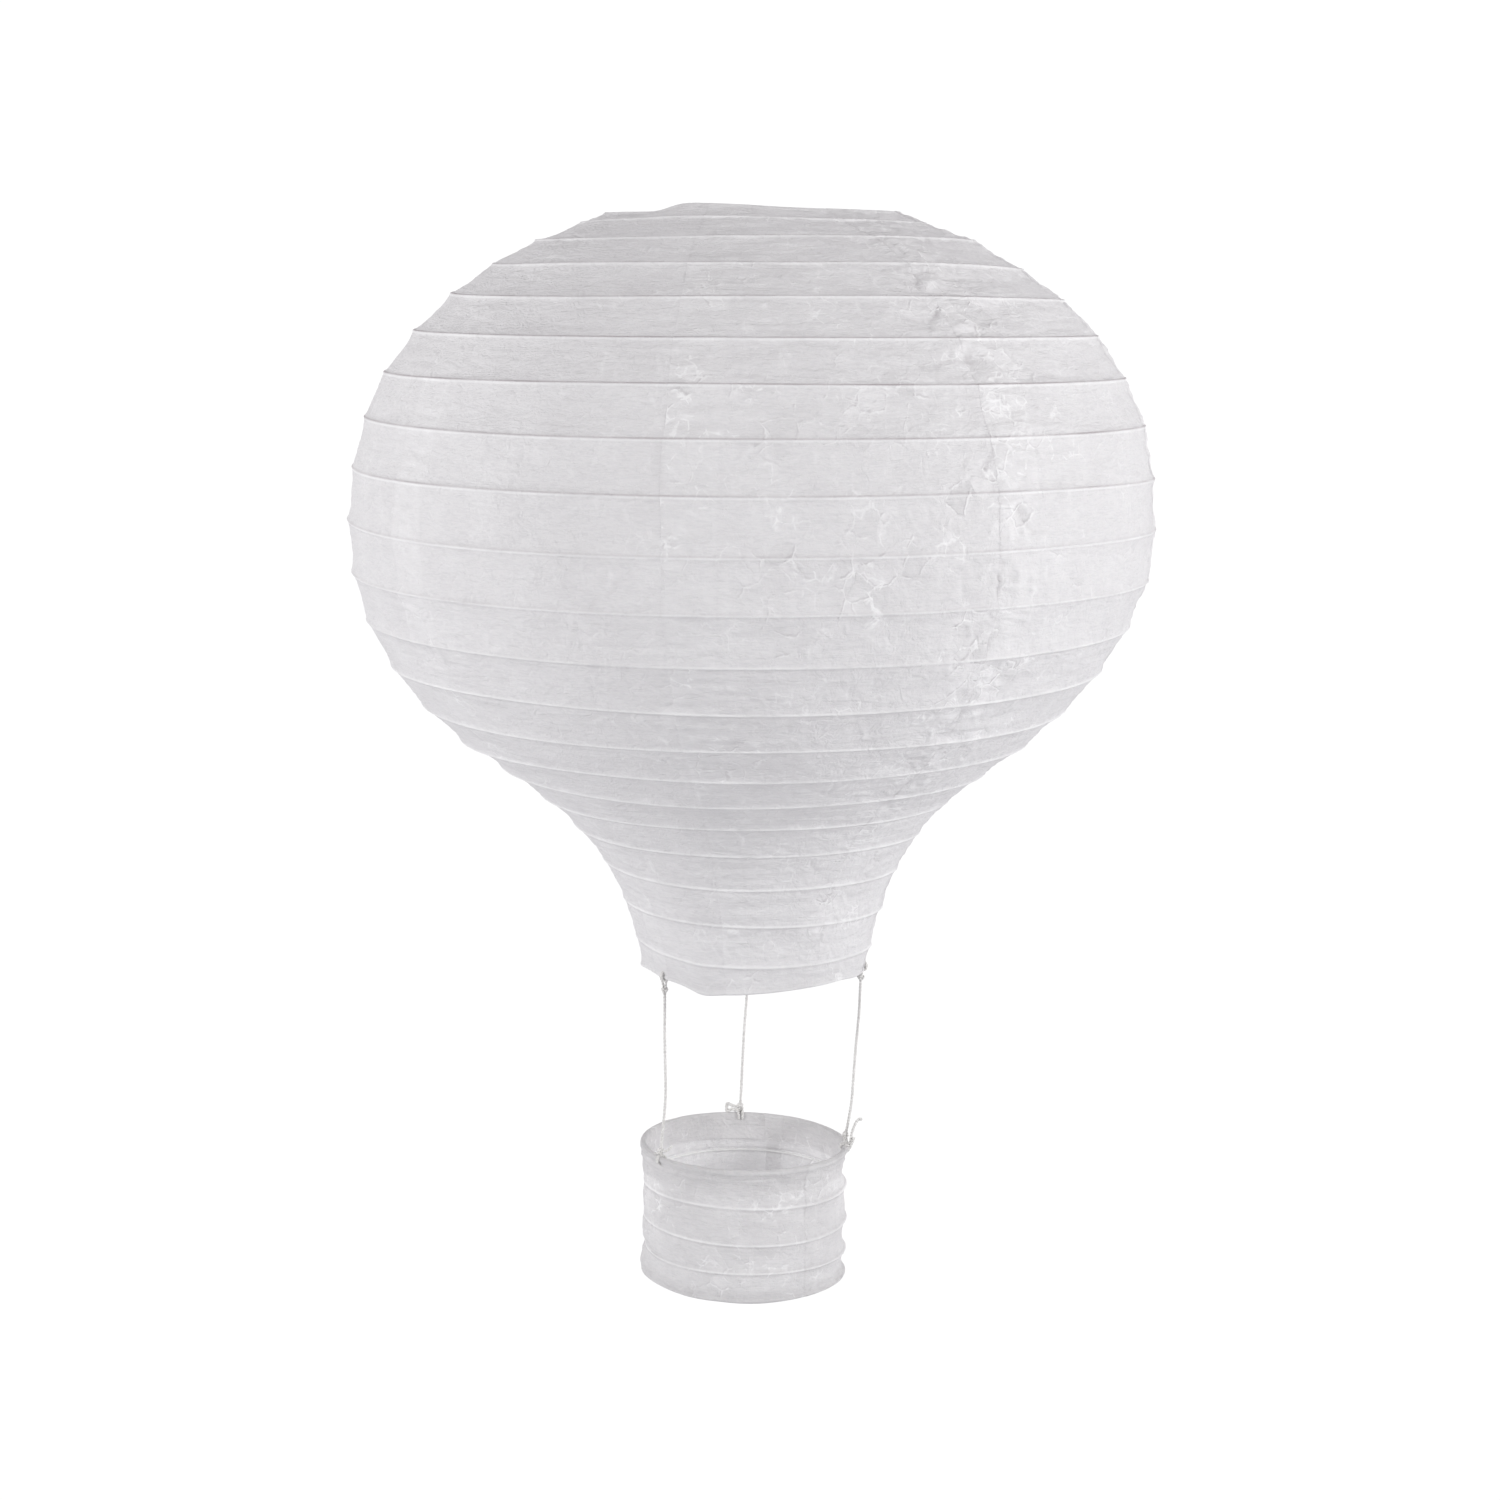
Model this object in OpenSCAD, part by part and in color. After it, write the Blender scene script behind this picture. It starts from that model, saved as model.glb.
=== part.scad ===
// Collapsible paper lantern in the shape of a hot-air balloon.
// Origin: the bearing point inside the hanging loop. +Z is up, the front is -Y.
// Azimuths are counted from the front (-Y) towards +X.

/* [Envelope] */
// Largest diameter of the paper envelope
balloon_d = 300; // [292:1:308]
// Height of the envelope, from its top edge to the edge of the neck
balloon_h = 286; // [282:1:290]
// Diameter of the opening at the top
top_d = 109; // [106:1:112]
// Diameter of the paper at the neck
neck_d = 86; // [84:1:88]
// Depth of the widest place below the top edge
widest_depth = 117; // [114:1:120]
// Diameter at the waist, where the cone turns into the neck
waist_d = 158; // [154:1:160]
// Depth of the waist below the top edge
waist_depth = 216; // [213:1:218]
// Spacing of the hoops, measured along the paper
rib_pitch = 18.9; // [18.6:0.1:19.1]
// Spacing from the top edge to the first hoop
first_step = 10; // [9:0.5:11]
// Spacing from the last hoop to the edge of the neck
last_step = 10.5; // [10:0.5:11]
// Azimuth of the first seam between two gores
seam_azimuth = -8; // [-20:1:20]
// Thickness of a gore, with its glued layers
paper_t = 0.3; // [0.25:0.05:0.35]

/* [Wire] */
// Wire of the rib hoops
hoop_wire = 0.9; // [0.8:0.1:1.0]
// Wire of the top ring
top_wire = 1.2; // [1.0:0.1:1.2]
// Wire of the neck ring
neck_wire = 1.4; // [1.2:0.1:1.4]
// Wire of the two legs that spread the envelope
leg_wire = 1.6; // [1.4:0.1:1.6]
// Wire of the hanger bar and its loop
bar_wire = 1.8; // [1.6:0.1:1.8]
// Wire of the basket rim
rim_wire = 1.8; // [1.6:0.1:1.8]
// Wire of the basket base ring
base_wire = 1.2; // [1.0:0.1:1.2]

/* [Expander] */
// Distance of each leg from the axis
leg_x = 37; // [36:0.5:37.5]
// Inside diameter of the hanging loop
loop_d = 10; // [8:0.5:10]

/* [Basket] */
// Outer diameter of the basket paper
basket_d = 78; // [76:1:79]
// Height from the rim to the lower edge
basket_h = 50.5; // [49:0.5:52]
// Depth of the basket rim below the edge of the neck
rim_drop = 70; // [68:1:74]
// Sideways offset of the hanging basket
basket_x = -3; // [-3:0.5:-2.5]

/* [Cords] */
// Diameter of the twisted cord
cord_d = 1.2; // [1.0:0.1:1.6]
// Diameter of a knot
knot_d = 3; // [2.8:0.1:3.2]

/* [Hidden] */
$fn = 96;

top_z = 2.5;                 // height of the envelope's top edge above the bearing point
clear = 0.15;                // paper to wire
ribs = 20;
gores = 8;
r_max = balloon_d / 2;

// --- the meridian of the envelope: three joined Bezier curves, as [radius, height] ---
function bez(a, b, c, d, t) =
    pow(1 - t, 3) * a + 3 * pow(1 - t, 2) * t * b + 3 * (1 - t) * t * t * c + pow(t, 3) * d;
steps = 24;
p0 = [top_d / 2, 0];
p3 = [r_max, -widest_depth];
p6 = [waist_d / 2, -waist_depth];
p9 = [neck_d / 2, -balloon_h];
path = concat(
    [for (i = [0 : steps]) bez(p0, p0 + [13.5, -9], p3 + [0, 92], p3, i / steps)],
    [for (i = [1 : steps]) bez(p3, p3 - [0, 64], p6 + [1.5, 4], p6, i / steps)],
    [for (i = [1 : steps]) bez(p6, p6 - [4.5, 12], p9 + [10, 57], p9, i / steps)]
);
// length along the meridian at each point
run = [for (i = 0, s = 0; i < len(path); s = i + 1 < len(path) ? s + norm(path[i + 1] - path[i]) : s, i = i + 1) s];
total = run[len(run) - 1];
function seek(s, i = 0) = (i >= len(run) - 2 || run[i + 1] >= s) ? i : seek(s, i + 1);
function on_path(s) =
    let (i = seek(s), f = (s - run[i]) / (run[i + 1] - run[i])) path[i] + f * (path[i + 1] - path[i]);
// hoops at even steps down to the sixteenth, and closer ones in the neck
s16 = first_step + 15 * rib_pitch;
function s_of(i) =
    i <= 0 ? 0 : i <= 16 ? first_step + (i - 1) * rib_pitch
    : i <= ribs ? s16 + (i - 16) * (total - last_step - s16) / (ribs - 16) : total;
ridge = [for (i = [0 : ribs + 1]) on_path(s_of(i))];
function tangent(i) = ridge[min(i + 1, ribs + 1)] - ridge[max(i - 1, 0)];
function inward(i) = let (t = tangent(i)) [t[1], -t[0]] / norm(t);
function inset(i, d) = ridge[i] + d * inward(i);

neck_r = neck_d / 2 - paper_t - clear - neck_wire / 2;
neck_z = top_z - balloon_h + neck_wire / 2 + 0.1;
hem_s = total - 3;           // the gores end just above the ties

// --- cords ---
tie_at = [-51.5, 82, 180.8];   // azimuths of the ties on the neck ring
rim_at = [-54.2, 88, 182.4];   // azimuths of the knots on the basket rim
rim_r = basket_d / 2;
rim_z = top_z - balloon_h - rim_drop;
tie_r = 0.6;                 // half the cord's width where it is pulled tight round a wire
function around(r, a, z) = [r * sin(a), -r * cos(a), z];
neck_tie_major = neck_wire / 2 + 0.05 + tie_r;
rim_tie_major = rim_wire / 2 + 0.05 + tie_r;
knot_up = [for (a = tie_at) around(neck_r, a, neck_z - neck_tie_major - tie_r - 0.15 - knot_d / 2)];
knot_low = [for (a = rim_at) [basket_x, 0, 0] + around(rim_r, a, rim_z + rim_tie_major + tie_r + 0.15 + knot_d / 2)];

// --- basket ---
basket_steps = [14, 28, 39.5];   // depth of each basket hoop below the rim
base_z = rim_z - basket_h;

// --- building blocks ---
module ring(r, z, wire) {
    translate([0, 0, z]) rotate_extrude() translate([r, 0]) circle(d = wire, $fn = 24);
}

// a straight wire between two points
module rod(a, b, d) {
    v = b - a;
    l = norm(v);
    translate(a) rotate([0, acos(v[2] / l), atan2(v[1], v[0])]) cylinder(d = d, h = l, $fn = 24);
}

// a ring of cord pulled round a wire of a hoop, at azimuth a of that hoop
module tie(r, a, z, major) {
    translate(around(r, a, z)) rotate([0, 0, a]) rotate([0, 90, 0])
        rotate_extrude($fn = 48) translate([major, 0]) circle(r = tie_r, $fn = 24);
}

// --- expander ---
module leg(side) {
    arm_tip = inset(0, paper_t + clear + top_wire / 2)[0] - top_wire / 2 - 0.3 - leg_wire / 2 - 0.1;
    arm_z = top_z + inset(0, paper_t + clear + top_wire / 2)[1];
    foot_z = neck_z + neck_wire / 2 + leg_wire / 2 + 0.1;
    bend = leg_wire + 0.2;
    color("silver") union() {
        rod([side * leg_x, 0, foot_z], [side * leg_x, 0, -8], leg_wire);
        translate([side * leg_x, 0, -8]) sphere(d = bend, $fn = 32);
        rod([side * leg_x, 0, -8], [side * arm_tip, 0, arm_z], leg_wire);
        translate([side * arm_tip, 0, arm_z]) sphere(d = bend, $fn = 32);
        translate([side * leg_x, 0, foot_z]) sphere(d = bend, $fn = 32);
        rod([side * leg_x, 0, foot_z], [side * (neck_r - 0.3), 0, foot_z], leg_wire);
    }
}
module left_leg() { leg(-1); }
module right_leg() { leg(1); }

module hanger_bar() {
    loop_r = loop_d / 2 + bar_wire / 2;
    bar_z = -loop_d - bar_wire / 2 - 0.4;
    eye_r = leg_wire / 2 + 0.1 + 0.8;
    color("silver") union() {
        translate([0, 0, -loop_d / 2]) rotate([90, 0, 0])
            rotate_extrude($fn = 64) translate([loop_r, 0]) circle(d = bar_wire, $fn = 24);
        rod([-leg_x + eye_r, 0, bar_z], [leg_x - eye_r, 0, bar_z], bar_wire);
        for (s = [-1, 1]) translate([s * leg_x, 0, bar_z])
            rotate_extrude($fn = 48) translate([eye_r, 0]) circle(r = 0.8, $fn = 24);
    }
}

// --- hoops of the envelope ---
module top_ring() {
    c = inset(0, paper_t + clear + top_wire / 2);
    color("gainsboro") ring(c[0], top_z + c[1], top_wire);
}
module neck_ring() { color("gainsboro") ring(neck_r, neck_z, neck_wire); }
module rib_hoop(i) {
    c = inset(i, paper_t + clear + hoop_wire / 2);
    color("gainsboro") ring(c[0], top_z + c[1], hoop_wire);
}

// --- paper: one gore spans 45 degrees between two seams ---
module gore(k) {
    last = on_path(hem_s);
    outer = concat([for (i = [0 : ribs]) ridge[i]], [last]);
    inner = concat([for (i = [0 : ribs]) inset(i, paper_t)], [last - [paper_t, 0]]);
    n = len(outer);
    color("whitesmoke") translate([0, 0, top_z])
        rotate([0, 0, seam_azimuth - 90 + (k - 1) * 360 / gores])
            rotate_extrude(angle = 360 / gores - 0.05)
                polygon(concat(outer, [for (i = [n - 1 : -1 : 0]) inner[i]]));
}

// --- cords, ties and knots ---
module neck_ties() {
    color("ivory") for (a = tie_at) tie(neck_r, a, neck_z, neck_tie_major);
}
module neck_knot(k) { color("ivory") translate(knot_up[k]) sphere(d = knot_d, $fn = 32); }
// the first cord carries the basket, and the others end clear of their knots
module cord(k) {
    a = knot_up[k];
    b = knot_low[k];
    u = (b - a) / norm(b - a);
    color("ivory") rod(a + (knot_d / 2 + 0.1) * u, b - (knot_d / 2 + (k == 0 ? 0.1 : 2.8)) * u, cord_d);
}
module basket_knot(k) { color("ivory") translate(knot_low[k]) sphere(d = knot_d, $fn = 32); }
module basket_ties() {
    color("ivory") translate([basket_x, 0, 0]) for (a = rim_at) tie(rim_r, a, rim_z, rim_tie_major);
}

// --- basket ---
module basket_rim() { color("gainsboro") translate([basket_x, 0, 0]) ring(rim_r, rim_z, rim_wire); }
module basket_hoop(k) {
    color("gainsboro") translate([basket_x, 0, 0])
        ring(rim_r - paper_t - clear - hoop_wire / 2, rim_z - basket_steps[k - 1], hoop_wire);
}
module basket_base_ring() {
    color("gainsboro") translate([basket_x, 0, 0])
        ring(rim_r - paper_t - clear - base_wire / 2, base_z + base_wire / 2 + 0.1, base_wire);
}
module basket_panel(k) {
    top = rim_z - rim_tie_major - tie_r - 0.2;
    color("whitesmoke") translate([basket_x, 0, base_z])
        rotate([0, 0, 42 - 90 + (k - 1) * 120]) rotate_extrude(angle = 119.9)
            translate([rim_r - paper_t, 0]) square([paper_t, top - base_z]);
}

left_leg();
right_leg();
hanger_bar();
top_ring();
neck_ring();
rib_hoop(1);  // rib_hoop_01
rib_hoop(2);  // rib_hoop_02
rib_hoop(3);  // rib_hoop_03
rib_hoop(4);  // rib_hoop_04
rib_hoop(5);  // rib_hoop_05
rib_hoop(6);  // rib_hoop_06
rib_hoop(7);  // rib_hoop_07
rib_hoop(8);  // rib_hoop_08
rib_hoop(9);  // rib_hoop_09
rib_hoop(10);  // rib_hoop_10
rib_hoop(11);  // rib_hoop_11
rib_hoop(12);  // rib_hoop_12
rib_hoop(13);  // rib_hoop_13
rib_hoop(14);  // rib_hoop_14
rib_hoop(15);  // rib_hoop_15
rib_hoop(16);  // rib_hoop_16
rib_hoop(17);  // rib_hoop_17
rib_hoop(18);  // rib_hoop_18
rib_hoop(19);  // rib_hoop_19
rib_hoop(20);  // rib_hoop_20
gore(1);  // gore_1
gore(2);  // gore_2
gore(3);  // gore_3
gore(4);  // gore_4
gore(5);  // gore_5
gore(6);  // gore_6
gore(7);  // gore_7
gore(8);  // gore_8
neck_ties();
neck_knot(0);  // neck_knot_1
neck_knot(1);  // neck_knot_2
neck_knot(2);  // neck_knot_3
cord(0);  // cord_1
cord(1);  // cord_2
cord(2);  // cord_3
basket_knot(0);  // basket_knot_1
basket_knot(1);  // basket_knot_2
basket_knot(2);  // basket_knot_3
basket_ties();
basket_rim();
basket_hoop(1);  // basket_hoop_1
basket_hoop(2);  // basket_hoop_2
basket_hoop(3);  // basket_hoop_3
basket_base_ring();
basket_panel(1);  // basket_panel_1
basket_panel(2);  // basket_panel_2
basket_panel(3);  // basket_panel_3
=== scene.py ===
import bpy
import math
import numpy as np
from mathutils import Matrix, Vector


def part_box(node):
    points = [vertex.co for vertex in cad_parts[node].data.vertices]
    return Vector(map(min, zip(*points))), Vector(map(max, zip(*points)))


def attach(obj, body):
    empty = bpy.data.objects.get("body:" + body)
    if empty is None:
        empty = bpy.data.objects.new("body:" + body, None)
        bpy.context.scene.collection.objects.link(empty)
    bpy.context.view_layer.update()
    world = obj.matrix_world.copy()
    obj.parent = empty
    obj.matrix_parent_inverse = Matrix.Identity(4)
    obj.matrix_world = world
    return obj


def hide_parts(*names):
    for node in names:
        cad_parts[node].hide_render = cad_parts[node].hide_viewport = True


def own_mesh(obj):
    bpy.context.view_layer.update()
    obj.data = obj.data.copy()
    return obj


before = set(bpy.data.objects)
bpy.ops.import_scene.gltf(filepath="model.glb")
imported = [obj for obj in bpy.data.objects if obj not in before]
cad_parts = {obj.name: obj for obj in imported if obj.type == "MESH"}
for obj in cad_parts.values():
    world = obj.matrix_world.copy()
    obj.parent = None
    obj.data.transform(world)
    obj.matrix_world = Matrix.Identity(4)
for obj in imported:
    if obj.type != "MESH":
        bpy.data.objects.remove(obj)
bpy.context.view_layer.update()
MM = 0.001

# ---------------------------------------------------------------- camera
cam = bpy.data.cameras.new("camera")
cam.sensor_width = 36.0
cam.lens = 70.65
cam_ob = bpy.data.objects.new("camera", cam)
bpy.context.scene.collection.objects.link(cam_ob)
cam_ob.location = (-0.0008, -1.100, -0.0236)
cam_ob.rotation_euler = (math.radians(90 - 9.08), 0, 0)
bpy.context.scene.camera = cam_ob

# ---------------------------------------------------------------- the design's own curve, in mm
# (the same meridian and hoop spacing as in part.scad)
A = np.array
TOP_Z, BALLOON_H, TOP_D, NECK_D, BALLOON_D = 2.5, 286.0, 109.0, 86.0, 300.0


def bez(a, b, c, d, t):
    return (1 - t) ** 3 * a + 3 * (1 - t) ** 2 * t * b + 3 * (1 - t) * t * t * c + t ** 3 * d


p0, p3 = A([TOP_D / 2, 0.0]), A([BALLOON_D / 2, -117.0])
p6, p9 = A([79.0, -216.0]), A([NECK_D / 2, -BALLOON_H])
path = [bez(p0, p0 + A([13.5, -9]), p3 + A([0, 92]), p3, i / 24) for i in range(25)]
path += [bez(p3, p3 - A([0, 64]), p6 + A([1.5, 4]), p6, i / 24) for i in range(1, 25)]
path += [bez(p6, p6 - A([4.5, 12]), p9 + A([10, 57]), p9, i / 24) for i in range(1, 25)]
path = A(path)
run = np.r_[0, np.cumsum(np.hypot(*np.diff(path, axis=0).T))]
TOTAL = float(run[-1])
S16 = 10 + 15 * 18.9
RIB_S = A([0.0] + [10 + (i - 1) * 18.9 for i in range(1, 17)]
          + [S16 + (i - 16) * (TOTAL - 10.5 - S16) / 4 for i in range(17, 21)] + [TOTAL])
RIDGE = np.c_[np.interp(RIB_S, run, path[:, 0]), np.interp(RIB_S, run, path[:, 1]) + TOP_Z]


def _outward(i):
    t = RIDGE[min(i + 1, 21)] - RIDGE[max(i - 1, 0)]
    return A([-t[1], t[0]]) / np.hypot(*t)


RIDGE_N = A([_outward(i) for i in range(22)])
NECK_R = NECK_D / 2 - 0.3 - 0.15 - 0.7
NECK_Z = TOP_Z - BALLOON_H + 0.7 + 0.1
RIM_Z = TOP_Z - BALLOON_H - 70
RIM_R = 39.0
BASE_Z = RIM_Z - 50.5
BASKET_X = -3.0
BASKET_STEPS = [14.0, 28.0, 39.5]
TIE_AT = [-51.5, 82.0, 180.8]
RIM_AT = [-54.2, 88.0, 182.4]


def around(r, deg, z, dx=0.0):
    a = math.radians(deg)
    return A([dx + r * math.sin(a), -r * math.cos(a), z])


NECK_TIE = 0.7 + 0.05 + 0.6
RIM_TIE = 0.9 + 0.05 + 0.6
KNOT_UP = [around(NECK_R, a, NECK_Z - NECK_TIE - 0.6 - 0.15 - 1.5) for a in TIE_AT]
KNOT_LOW = [around(RIM_R, a, RIM_Z + RIM_TIE + 0.6 + 0.15 + 1.5, BASKET_X) for a in RIM_AT]


# ---------------------------------------------------------------- noise
_rng = np.random.default_rng(11)
_perm = np.concatenate([_rng.permutation(256)] * 3)
_grad = _rng.normal(size=(256, 3))
_grad = (_grad / np.linalg.norm(_grad, axis=1)[:, None]).astype(np.float32)


def noise3(x, y, z, seed=0):
    """Gradient noise, about -0.6 to 0.6, over arrays of the same shape."""
    x = np.asarray(x, np.float32) + 17.31 * seed
    y = np.asarray(y, np.float32) - 9.73 * seed
    z = np.asarray(z, np.float32) + 5.17 * seed
    ix, iy, iz = np.floor(x).astype(int), np.floor(y).astype(int), np.floor(z).astype(int)
    fx, fy, fz = x - ix, y - iy, z - iz
    ux, uy, uz = [t * t * t * (t * (t * 6 - 15) + 10) for t in (fx, fy, fz)]
    out = 0.0
    for dx in (0, 1):
        a = _perm[(ix + dx) & 255]
        wx = ux if dx else 1 - ux
        for dy in (0, 1):
            b = _perm[a + ((iy + dy) & 255)]
            wy = uy if dy else 1 - uy
            for dz in (0, 1):
                g = _grad[_perm[b + ((iz + dz) & 255)]]
                wz = uz if dz else 1 - uz
                out = out + wx * wy * wz * (g[..., 0] * (fx - dx) + g[..., 1] * (fy - dy) + g[..., 2] * (fz - dz))
    return out


def smooth(a, b, x):
    t = np.clip((x - a) / (b - a), 0, 1)
    return t * t * (3 - 2 * t)


# ---------------------------------------------------------------- how the hoops hang: a little crooked
# for each hoop, in mm: height, tilt, saddle, skew, and how far it sits to the right
HANG = A([
    [0.0, 0.0, 0.0, 0.0, 0.2], [-0.3, -0.3, 0.5, 0.0, 0.4], [0.4, -0.3, 0.35, 0.4, 1.3], [0.15, -1.1, 0.6, 0.6, 2.1],
    [0.0, -1.5, 0.3, 0.9, 2.0], [0.1, -1.2, 0.2, 0.4, 1.3], [0.6, -1.3, 0.3, 0.3, 1.0], [0.8, -2.1, -0.1, 0.9, 1.0],
    [0.8, -2.5, 0.1, 1.2, 0.5], [0.3, -1.9, -0.3, 0.8, -0.2], [0.1, -2.0, -0.3, 1.0, -0.7], [0.3, -1.1, -0.6, 0.1, -1.5],
    [0.0, -0.9, -0.8, 0.0, -2.1], [-0.1, -1.5, -0.8, 0.5, -3.1], [-0.1, -1.0, -0.5, 0.2, -3.2], [-0.3, -1.9, -0.6, 0.7, -3.6],
    [0.5, -2.0, -0.3, 0.9, -3.2], [0.6, -2.3, -0.4, 0.9, -2.2], [0.0, -2.1, -0.5, 0.7, -0.7], [0.1, -2.1, -0.3, 0.6, 0.3],
    [0.25, -2.1, -0.6, 0.6, 0.6], [0.0, -1.1, 0.0, 0.0, 0.3]])
_hr = np.random.default_rng(5)
WAVE = np.c_[_hr.normal(0, 0.13, 22), _hr.uniform(0, 6.28, 22), _hr.normal(0, 0.10, 22), _hr.uniform(0, 6.28, 22)]
WAVE[[0, 21]] *= 0.3


def _at_hoop(j, phi):
    c = HANG[j]
    return (c[..., 0] + c[..., 1] * np.sin(phi) + c[..., 2] * np.cos(2 * phi) + c[..., 3] * np.sin(2 * phi)
            + WAVE[j, 0] * np.sin(3 * phi + WAVE[j, 1]) + WAVE[j, 2] * np.sin(5 * phi + WAVE[j, 3]))


def hoop_dz(k, phi):
    """How far hoop k (a real number between 0 and 21) hangs above its level at azimuth phi, in mm."""
    k = np.asarray(k, float)
    i = np.clip(np.floor(k).astype(int), 0, 20)
    f = k - i
    return _at_hoop(i, phi) * (1 - f) + _at_hoop(i + 1, phi) * f


def hoop_dr(k, phi):
    k = np.asarray(k, float)
    i = np.clip(np.floor(k).astype(int), 0, 20)
    f = k - i
    return (HANG[i, 4] * (1 - f) + HANG[i + 1, 4] * f) * np.sin(phi)


# ---------------------------------------------------------------- the relief of the paper, and the painted shade and painted highlight along its creases, on one grid for the whole envelope
NPHI = 1376


def rows_along():
    """Arc lengths of the mesh rows: closer together near each hoop."""
    out = []
    for i in range(21):
        n = (26) if RIB_S[i + 1] - RIB_S[i] > 14 else (16)
        u = np.arange(n) / n
        t = u - 0.55 * np.sin(2 * math.pi * u) / (2 * math.pi)
        out.append(RIB_S[i] + t * (RIB_S[i + 1] - RIB_S[i]))
    return np.r_[np.concatenate(out), TOTAL]


GS = rows_along()
NS = len(GS)
GP = np.linspace(-math.pi, math.pi, NPHI, endpoint=False)
SEAMS = np.radians(-8 + 45.0 * np.arange(8))


def strip_width(s):
    """Width of the glued overlap between two gores, in mm."""
    return np.interp(s, [0, 60, 130, 200, 260, 370], [15.0, 17.5, 18.5, 17.0, 11.5, 8.0])


def wrap(a):
    return (a + math.pi) % (2 * math.pi) - math.pi


def relief():
    P, S = np.meshgrid(GP, GS, indexing="ij")
    R = np.interp(S, run, path[:, 0])
    X, Y = R * np.sin(P), -R * np.cos(P)
    k = np.interp(S, RIB_S, np.arange(22))
    bay = np.clip(np.floor(k), 0, 20).astype(int)
    lo, hi = RIB_S[bay], RIB_S[bay + 1]
    d = np.minimum(S - lo, hi - S)
    t = (S - lo) / (hi - lo)
    # how close this place is to a seam, where the doubled paper crumples most
    near = np.min([np.abs(wrap(P - c)) * R for c in SEAMS], axis=0)
    seam = np.exp(-(near / 14.0) ** 2)
    right = np.exp(-(wrap(P - math.radians(36)) * R / 26.0) ** 2)
    face = 0.55 + 0.45 * smooth(-0.9, 0.6, P) * (1 - smooth(2.0, 2.8, P))
    lively = face * (0.75 + 0.5 * seam) + 0.75 * right
    lively = lively * np.interp(S, [0, 60, 215, 260, 370], [0.9, 1.0, 1.0, 0.62, 0.55])
    free = 1 - np.exp(-(d / 2.6) ** 2)
    # the paper is pulled in between the hoops, and stands out over each wire
    amp = 0.55 + 0.8 * noise3(X / 34, Y / 34, bay * 3.7, 1)
    amp = np.clip(amp, 0.15, 1.3)
    soft = np.sqrt(d * d + 0.45 ** 2) - 0.45
    h = -amp * (1 - np.exp(-soft / 2.3)) - 0.16 * 4 * t * (1 - t)
    # tight over the wire itself
    h += 0.34 * np.exp(-(d / 0.62) ** 2) - 0.34
    # broad unevenness of each band
    h += free * 0.9 * noise3(X / 42, Y / 42, S / 24, 2)
    # crumpled facets with sharp folds
    wx = 9 * noise3(X / 30, Y / 30, S / 30, 3)
    wy = 9 * noise3(X / 30, Y / 30, S / 30, 4)
    ws = 7 * noise3(X / 26, Y / 26, S / 26, 5)
    n1 = noise3((X + wx) / 24, (Y + wy) / 24, (S + ws) / 15, 6)
    n2 = noise3((X - wy) / 11, (Y + wx) / 11, (S + ws) / 8, 7)
    n3 = noise3((X + wy) / 5.2, (Y - wx) / 5.2, (S - ws) / 4.2, 8)
    h += free * lively * (1.10 * (0.22 - np.abs(n1)) + 0.85 * (0.2 - np.abs(n2)) + 0.30 * (0.2 - np.abs(n3)))
    # long flat wrinkles that run round the balloon
    m1 = noise3((X + wx) / 52, (Y + wy) / 52, (S + 0.4 * ws) / 4.6, 9)
    m2 = noise3((X + wy) / 26, (Y + wx) / 26, (S - 0.4 * ws) / 2.4, 10)
    h += free * (0.55 * (0.2 - np.abs(m1)) + 0.30 * (0.2 - np.abs(m2))) * (0.8 + 0.5 * face + 0.9 * seam)
    # short vertical puckers that leave the hoops
    v = noise3(X / 4.5, Y / 4.5, bay * 2.3, 12)
    h += 0.40 * np.exp(-((d - 1.8) / 2.6) ** 2) * (1 - np.exp(-(d / 0.8) ** 2)) * v * (0.6 + lively)
    # painted shade in the crease valleys (above 0) and painted highlight along raised creases (below 0), for the
    # material
    crease_shading = np.zeros_like(h)
    # single creases
    rng = np.random.default_rng(77)
    dphi = 2 * math.pi / NPHI
    todo = []
    for n in range(900):
        s0 = rng.uniform(14, TOTAL - 12)
        pick = rng.random()
        if pick < 0.35:
            c = SEAMS[rng.integers(8)]
            spread = 8.0
        elif pick < 0.65:
            c = rng.uniform(-0.45, 0.75)
            spread = 4.0
            s0 = rng.uniform(60, 270)
        else:
            c = rng.uniform(-math.pi, math.pi)
            spread = 4.0
        r0 = float(np.interp(s0, run, path[:, 0]))
        p = c + rng.normal(0, spread / r0)
        lean = rng.normal(math.pi / 2, 0.55) if rng.random() < 0.6 else rng.normal(0, 0.5)
        todo.append((s0, p, rng.uniform(3, 11), lean, rng.choice([-1, 1], p=[0.45, 0.55]) * rng.uniform(0.18, 0.55), rng.uniform(0.45, 0.85), 0.0))
        if rng.random() < 0.3:
            # a second branch from the same point
            todo.append((s0, p, rng.uniform(3, 8), lean + rng.choice([-1, 1]) * rng.uniform(0.5, 1.1), rng.choice([-1, 1]) * rng.uniform(0.18, 0.5), rng.uniform(0.45, 0.8), 0.0))
    for i in range(2, 20):
        # the crushed fold beside the right-hand seam, and the ones that leave it
        a0, a1 = RIB_S[i], RIB_S[i + 1]
        r0 = float(np.interp((a0 + a1) / 2, run, path[:, 0]))
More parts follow.
